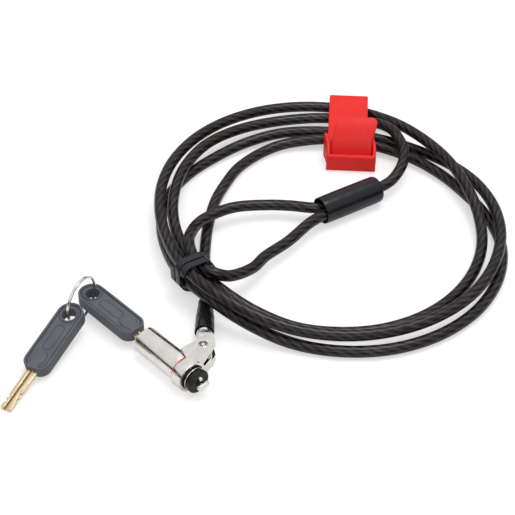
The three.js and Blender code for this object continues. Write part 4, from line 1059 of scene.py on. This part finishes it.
def lean(y):
    """How far the soft clip has settled to the left, at a place along it."""
    return -min(max((y - CLIP_LEAN_START) * CLIP_LEAN_SLOPE, 0), CLIP_LEAN_MOST)


def strap_line():
    """The strap's middle line: sideways shift, distance from the box's front, and height."""
    bend = (STRAP_HIGH - STRAP_LOW) / 2
    points = [(12.9, STRAP_LOW), (25, STRAP_LOW), (38, STRAP_LOW),
              *arc(bend, -math.pi / 2, math.pi, 12, STRAP_BACK - bend, STRAP_LOW + bend),
              (40, STRAP_HIGH), (30, STRAP_HIGH), *STRAP_FRONT]
    return evenly(smooth_curve([(lean(y), y, z) for y, z in points] + STRAP_TONGUE, 8), STRAP_STEP)


CORNERS = ((1, 1), (-1, 1), (-1, -1), (1, -1))


def flat_section(half_width, half_thickness, corner, steps=5):
    """A rounded rectangle as (across, through) points."""
    quarter = math.pi / 2
    return [point for i, (x, y) in enumerate(CORNERS)
            for point in arc(corner, i * quarter, quarter, steps,
                             x * (half_width - corner), y * (half_thickness - corner))]


def strap_rings(line):
    rings = []
    total = len(line) - 1
    for i, (shift, y, z) in enumerate(line):
        before, after = line[max(i - 1, 0)], line[min(i + 1, total)]
        along = Vector((after - before)[1:]).normalized()
        to_tip = (total - i) * STRAP_STEP + LAST_STEP
        narrow = 0.0
        if to_tip < TIP_RADIUS:
            narrow = TIP_RADIUS - math.sqrt(TIP_RADIUS**2 - (TIP_RADIUS - to_tip) ** 2)
        flare = TIP_FLARE * max(0.0, 1 - to_tip / TIP_FLARE_LENGTH)
        half = STRAP_HALF_WIDTH - narrow + flare
        half_thickness = STRAP_THICKNESS / 2 * min(1.0, TIP_THINNED + to_tip / 2)
        rings.append([
            (STRAP_X + shift + across, y - along.y * through, z + along.x * through)
            for across, through in flat_section(
                half, half_thickness, half_thickness * STRAP_CORNER)])
    return rings


strap = skin("strap_tongue", strap_rings(strap_line()), STRAP, sharp_from=50)
settle(strap, "cable", "red_silicone", SILICONE, "strap_band")

# %% [markdown]
# ## The tie band, by Geometry Nodes
#
# The band is wound twice round the bundle, tight over the outermost strands. Its path is the
# outline that a taut string would take round the strands' sections. The path's points carry
# their outward direction as an attribute, so the node tree can hold the band flat on the bundle
# while it sweeps the section along.

# %% Band path
BAND_BEARING = -97.0
BAND_STRANDS = [
    (68.8, 4), (76.8, 4), (74.6, 10), (75, 16.3), (84, 17.2), (82.6, 15.3), (83.9, 10.2),
    (82.7, 8.1),
]
BAND_CLEARANCE, BAND_THICKNESS, BAND_WIDTH, BAND_PITCH = 0.35, 0.8, 3.6, 4.2
BAND_TURNS, BAND_STEPS = 2, 96
BAND_FILLET = 0.00035  # metres


def band_path():
    """Points along the band's middle, and the direction that faces out at each."""
    bearing = math.radians(BAND_BEARING)
    outward = Vector((math.cos(bearing), math.sin(bearing), 0))
    along = Vector((math.sin(bearing), -math.cos(bearing), 0))
    depth = CABLE_RADIUS + BAND_CLEARANCE + BAND_THICKNESS / 2
    points, normals = [], []
    for i in range(BAND_TURNS * BAND_STEPS + 1):
        angle = 2 * math.pi * i / BAND_STEPS
        facing = Vector((math.cos(angle), math.sin(angle)))
        outermost = max((Vector(strand) for strand in BAND_STRANDS), key=facing.dot)
        radius, height = outermost + facing * depth
        climb = (i / BAND_STEPS - BAND_TURNS / 2) * BAND_PITCH
        place = Vector(COIL_CENTRE).to_3d() + outward * radius + along * climb
        points.append(LOCK @ Vector((place.x, place.y, height)))
        normals.append(outward * facing.x + Vector((0, 0, facing.y)))
    return points, normals


# %% Tie band
BAND_SIZES = {"Width": BAND_WIDTH * MM, "Thickness": BAND_THICKNESS * MM}

band_tree, start, end = new_tree("tie_band", BAND_SIZES)
line = grow(band_tree, "GeometryNodeMeshToCurve", {"Mesh": start.outputs["Geometry"]})
outward = grow(band_tree, "GeometryNodeInputNamedAttribute", {"Name": "outward"},
               data_type="FLOAT_VECTOR")
held = grow(band_tree, "GeometryNodeSetCurveNormal",
            {"Curve": line, "Normal": outward.outputs["Attribute"]}, mode="FREE")
profile = wire_profile(band_tree, start.outputs["Thickness"], start.outputs["Width"], BAND_FILLET)
sweep_to_end(band_tree, end, held, profile, BAND_RUBBER)

points, normals = band_path()
band_line = bpy.data.meshes.new("band_line")
band_line.from_pydata(points, [(i, i + 1) for i in range(len(points) - 1)], [])
attribute = band_line.attributes.new("outward", "FLOAT_VECTOR", "POINT")
attribute.data.foreach_set("vector", [value for normal in normals for value in normal])
tie_band = grown("tie_band_wound", linked("band_line", band_line), band_tree, BAND_SIZES)
shade(tie_band.data, sharp_from=50)
settle(tie_band, "cable", "black_sleeve", BAND_RUBBER, "tie_band")

# %% [markdown]
# ## Frame parts that stay
#
# The plug, its discs and the crimp are right as they are, and are mostly hidden. They keep
# their own meshes and get finishes.

# %% Finishes for the frame's own parts
KEPT_NODES = {
    "plug_carrier": DARK_STEEL, "sidebar": DARK_STEEL, "spindle_hub": DARK_STEEL,
    "nose_boss": NICKEL, "eye_crimp": ALUMINIUM, **{f"disc_{i}": BRASS for i in range(1, 7)},
}
for node, material in KEPT_NODES.items():
    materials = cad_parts[node].data.materials
    materials.clear()
    materials.append(material)
print("nodes kept:", len(KEPT_NODES))

# %% [markdown]
# ## The cords
#
# The cable and the eye's loop are flexible. Each has its real length, leaves the lock or the
# sleeve, and has pieces that sit on it.

# %% [markdown]
# ## Table, light and background
#
# The photograph's table is pure white with soft shadows. The floor here is a pale matte surface
# that also glows a little for the camera and for reflections, just enough to reach white where
# no shadow falls. Nothing else is lit by that glow.

# %% Floor
FLOOR_COLOUR = (0.62, 0.62, 0.62, 1)
FLOOR_GLOW = 0.5
GLOW_IN_METAL = 0.45  # part of the glow that reflections see
FLOOR_HALF, FLOOR_DROP = 4.0, 0.00005


def bare_tree(owner):
    """The emptied node tree of a new material or world."""
    owner.use_nodes = True
    owner.node_tree.nodes.clear()
    return owner.node_tree


white_table = bpy.data.materials.new("white_table")
tree = bare_tree(white_table)
rays = grow(tree, "ShaderNodeLightPath").outputs
mirrored = arithmetic(tree, "MAXIMUM", rays["Is Glossy Ray"], rays["Is Transmission Ray"])
seen = arithmetic(tree, "MULTIPLY_ADD", mirrored, GLOW_IN_METAL, rays["Is Camera Ray"])
glow = grow(tree, "ShaderNodeEmission",
            {"Strength": arithmetic(tree, "MULTIPLY", seen, FLOOR_GLOW)})
diffuse = grow(tree, "ShaderNodeBsdfDiffuse", {"Color": FLOOR_COLOUR})
both = grow(tree, "ShaderNodeAddShader", {0: diffuse, 1: glow})
grow(tree, "ShaderNodeOutputMaterial", {"Surface": both})

corners = [(x * FLOOR_HALF, y * FLOOR_HALF, -FLOOR_DROP) for x, y in CORNERS]
floor_mesh = bpy.data.meshes.new("table")
floor_mesh.from_pydata(corners, [], [range(len(corners))])
floor_mesh.materials.append(white_table)
floor = linked("table", floor_mesh)
print("table, m:", 2 * FLOOR_HALF)


# %% World and lamps
SKY = ((0.0, 0.3), (0.03, 0.06), (0.26, 0.06), (0.36, 0.9), (0.8, 1.0), (1.0, 0.9))
SKY_STRENGTH = 0.8


# A soft studio: bright above, dark in a belt at the sides, and white to the camera.
world = bpy.context.scene.world = bpy.data.worlds.new("studio")
tree = bare_tree(world)
place = grow(tree, "ShaderNodeTexCoord")
split = grow(tree, "ShaderNodeSeparateXYZ", {0: place.outputs["Generated"]})
ramp = grow(tree, "ShaderNodeValToRGB", {0: split.outputs["Z"]})
stops = ramp.color_ramp.elements
while len(stops) < len(SKY):
    stops.new(0.5)
for stop, (position, value) in zip(stops, SKY):
    stop.position = position
    stop.color = (value, value, value, 1)
soft = grow(tree, "ShaderNodeBackground", {"Color": ramp, "Strength": SKY_STRENGTH})
white = grow(tree, "ShaderNodeBackground", {"Color": (1, 1, 1, 1)})
rays = grow(tree, "ShaderNodeLightPath").outputs
mixed = grow(tree, "ShaderNodeMixShader", {0: rays["Is Camera Ray"], 1: soft, 2: white})
grow(tree, "ShaderNodeOutputWorld", {"Surface": mixed})


def soft_box(name, place, size, power):
    """A square lamp at a place from the camera's target."""
    lamp = bpy.data.lights.new(name, "AREA")
    lamp.shape, lamp.size, lamp.energy = "SQUARE", size, power
    aimed(name, lamp, Vector(place))


soft_box("key_light", (0.0, 0.3, 1.35), size=0.6, power=6)
soft_box("fill_light", (0.9, -0.7, 0.8), size=0.9, power=2.2)
bpy.context.scene.view_settings.view_transform = "Standard"
print("sky stops:", len(SKY))

# %% [markdown]
# ## Last count
#
# The number of pieces settled is printed.

# %% Finish
print("pieces settled:", len(SETTLED))
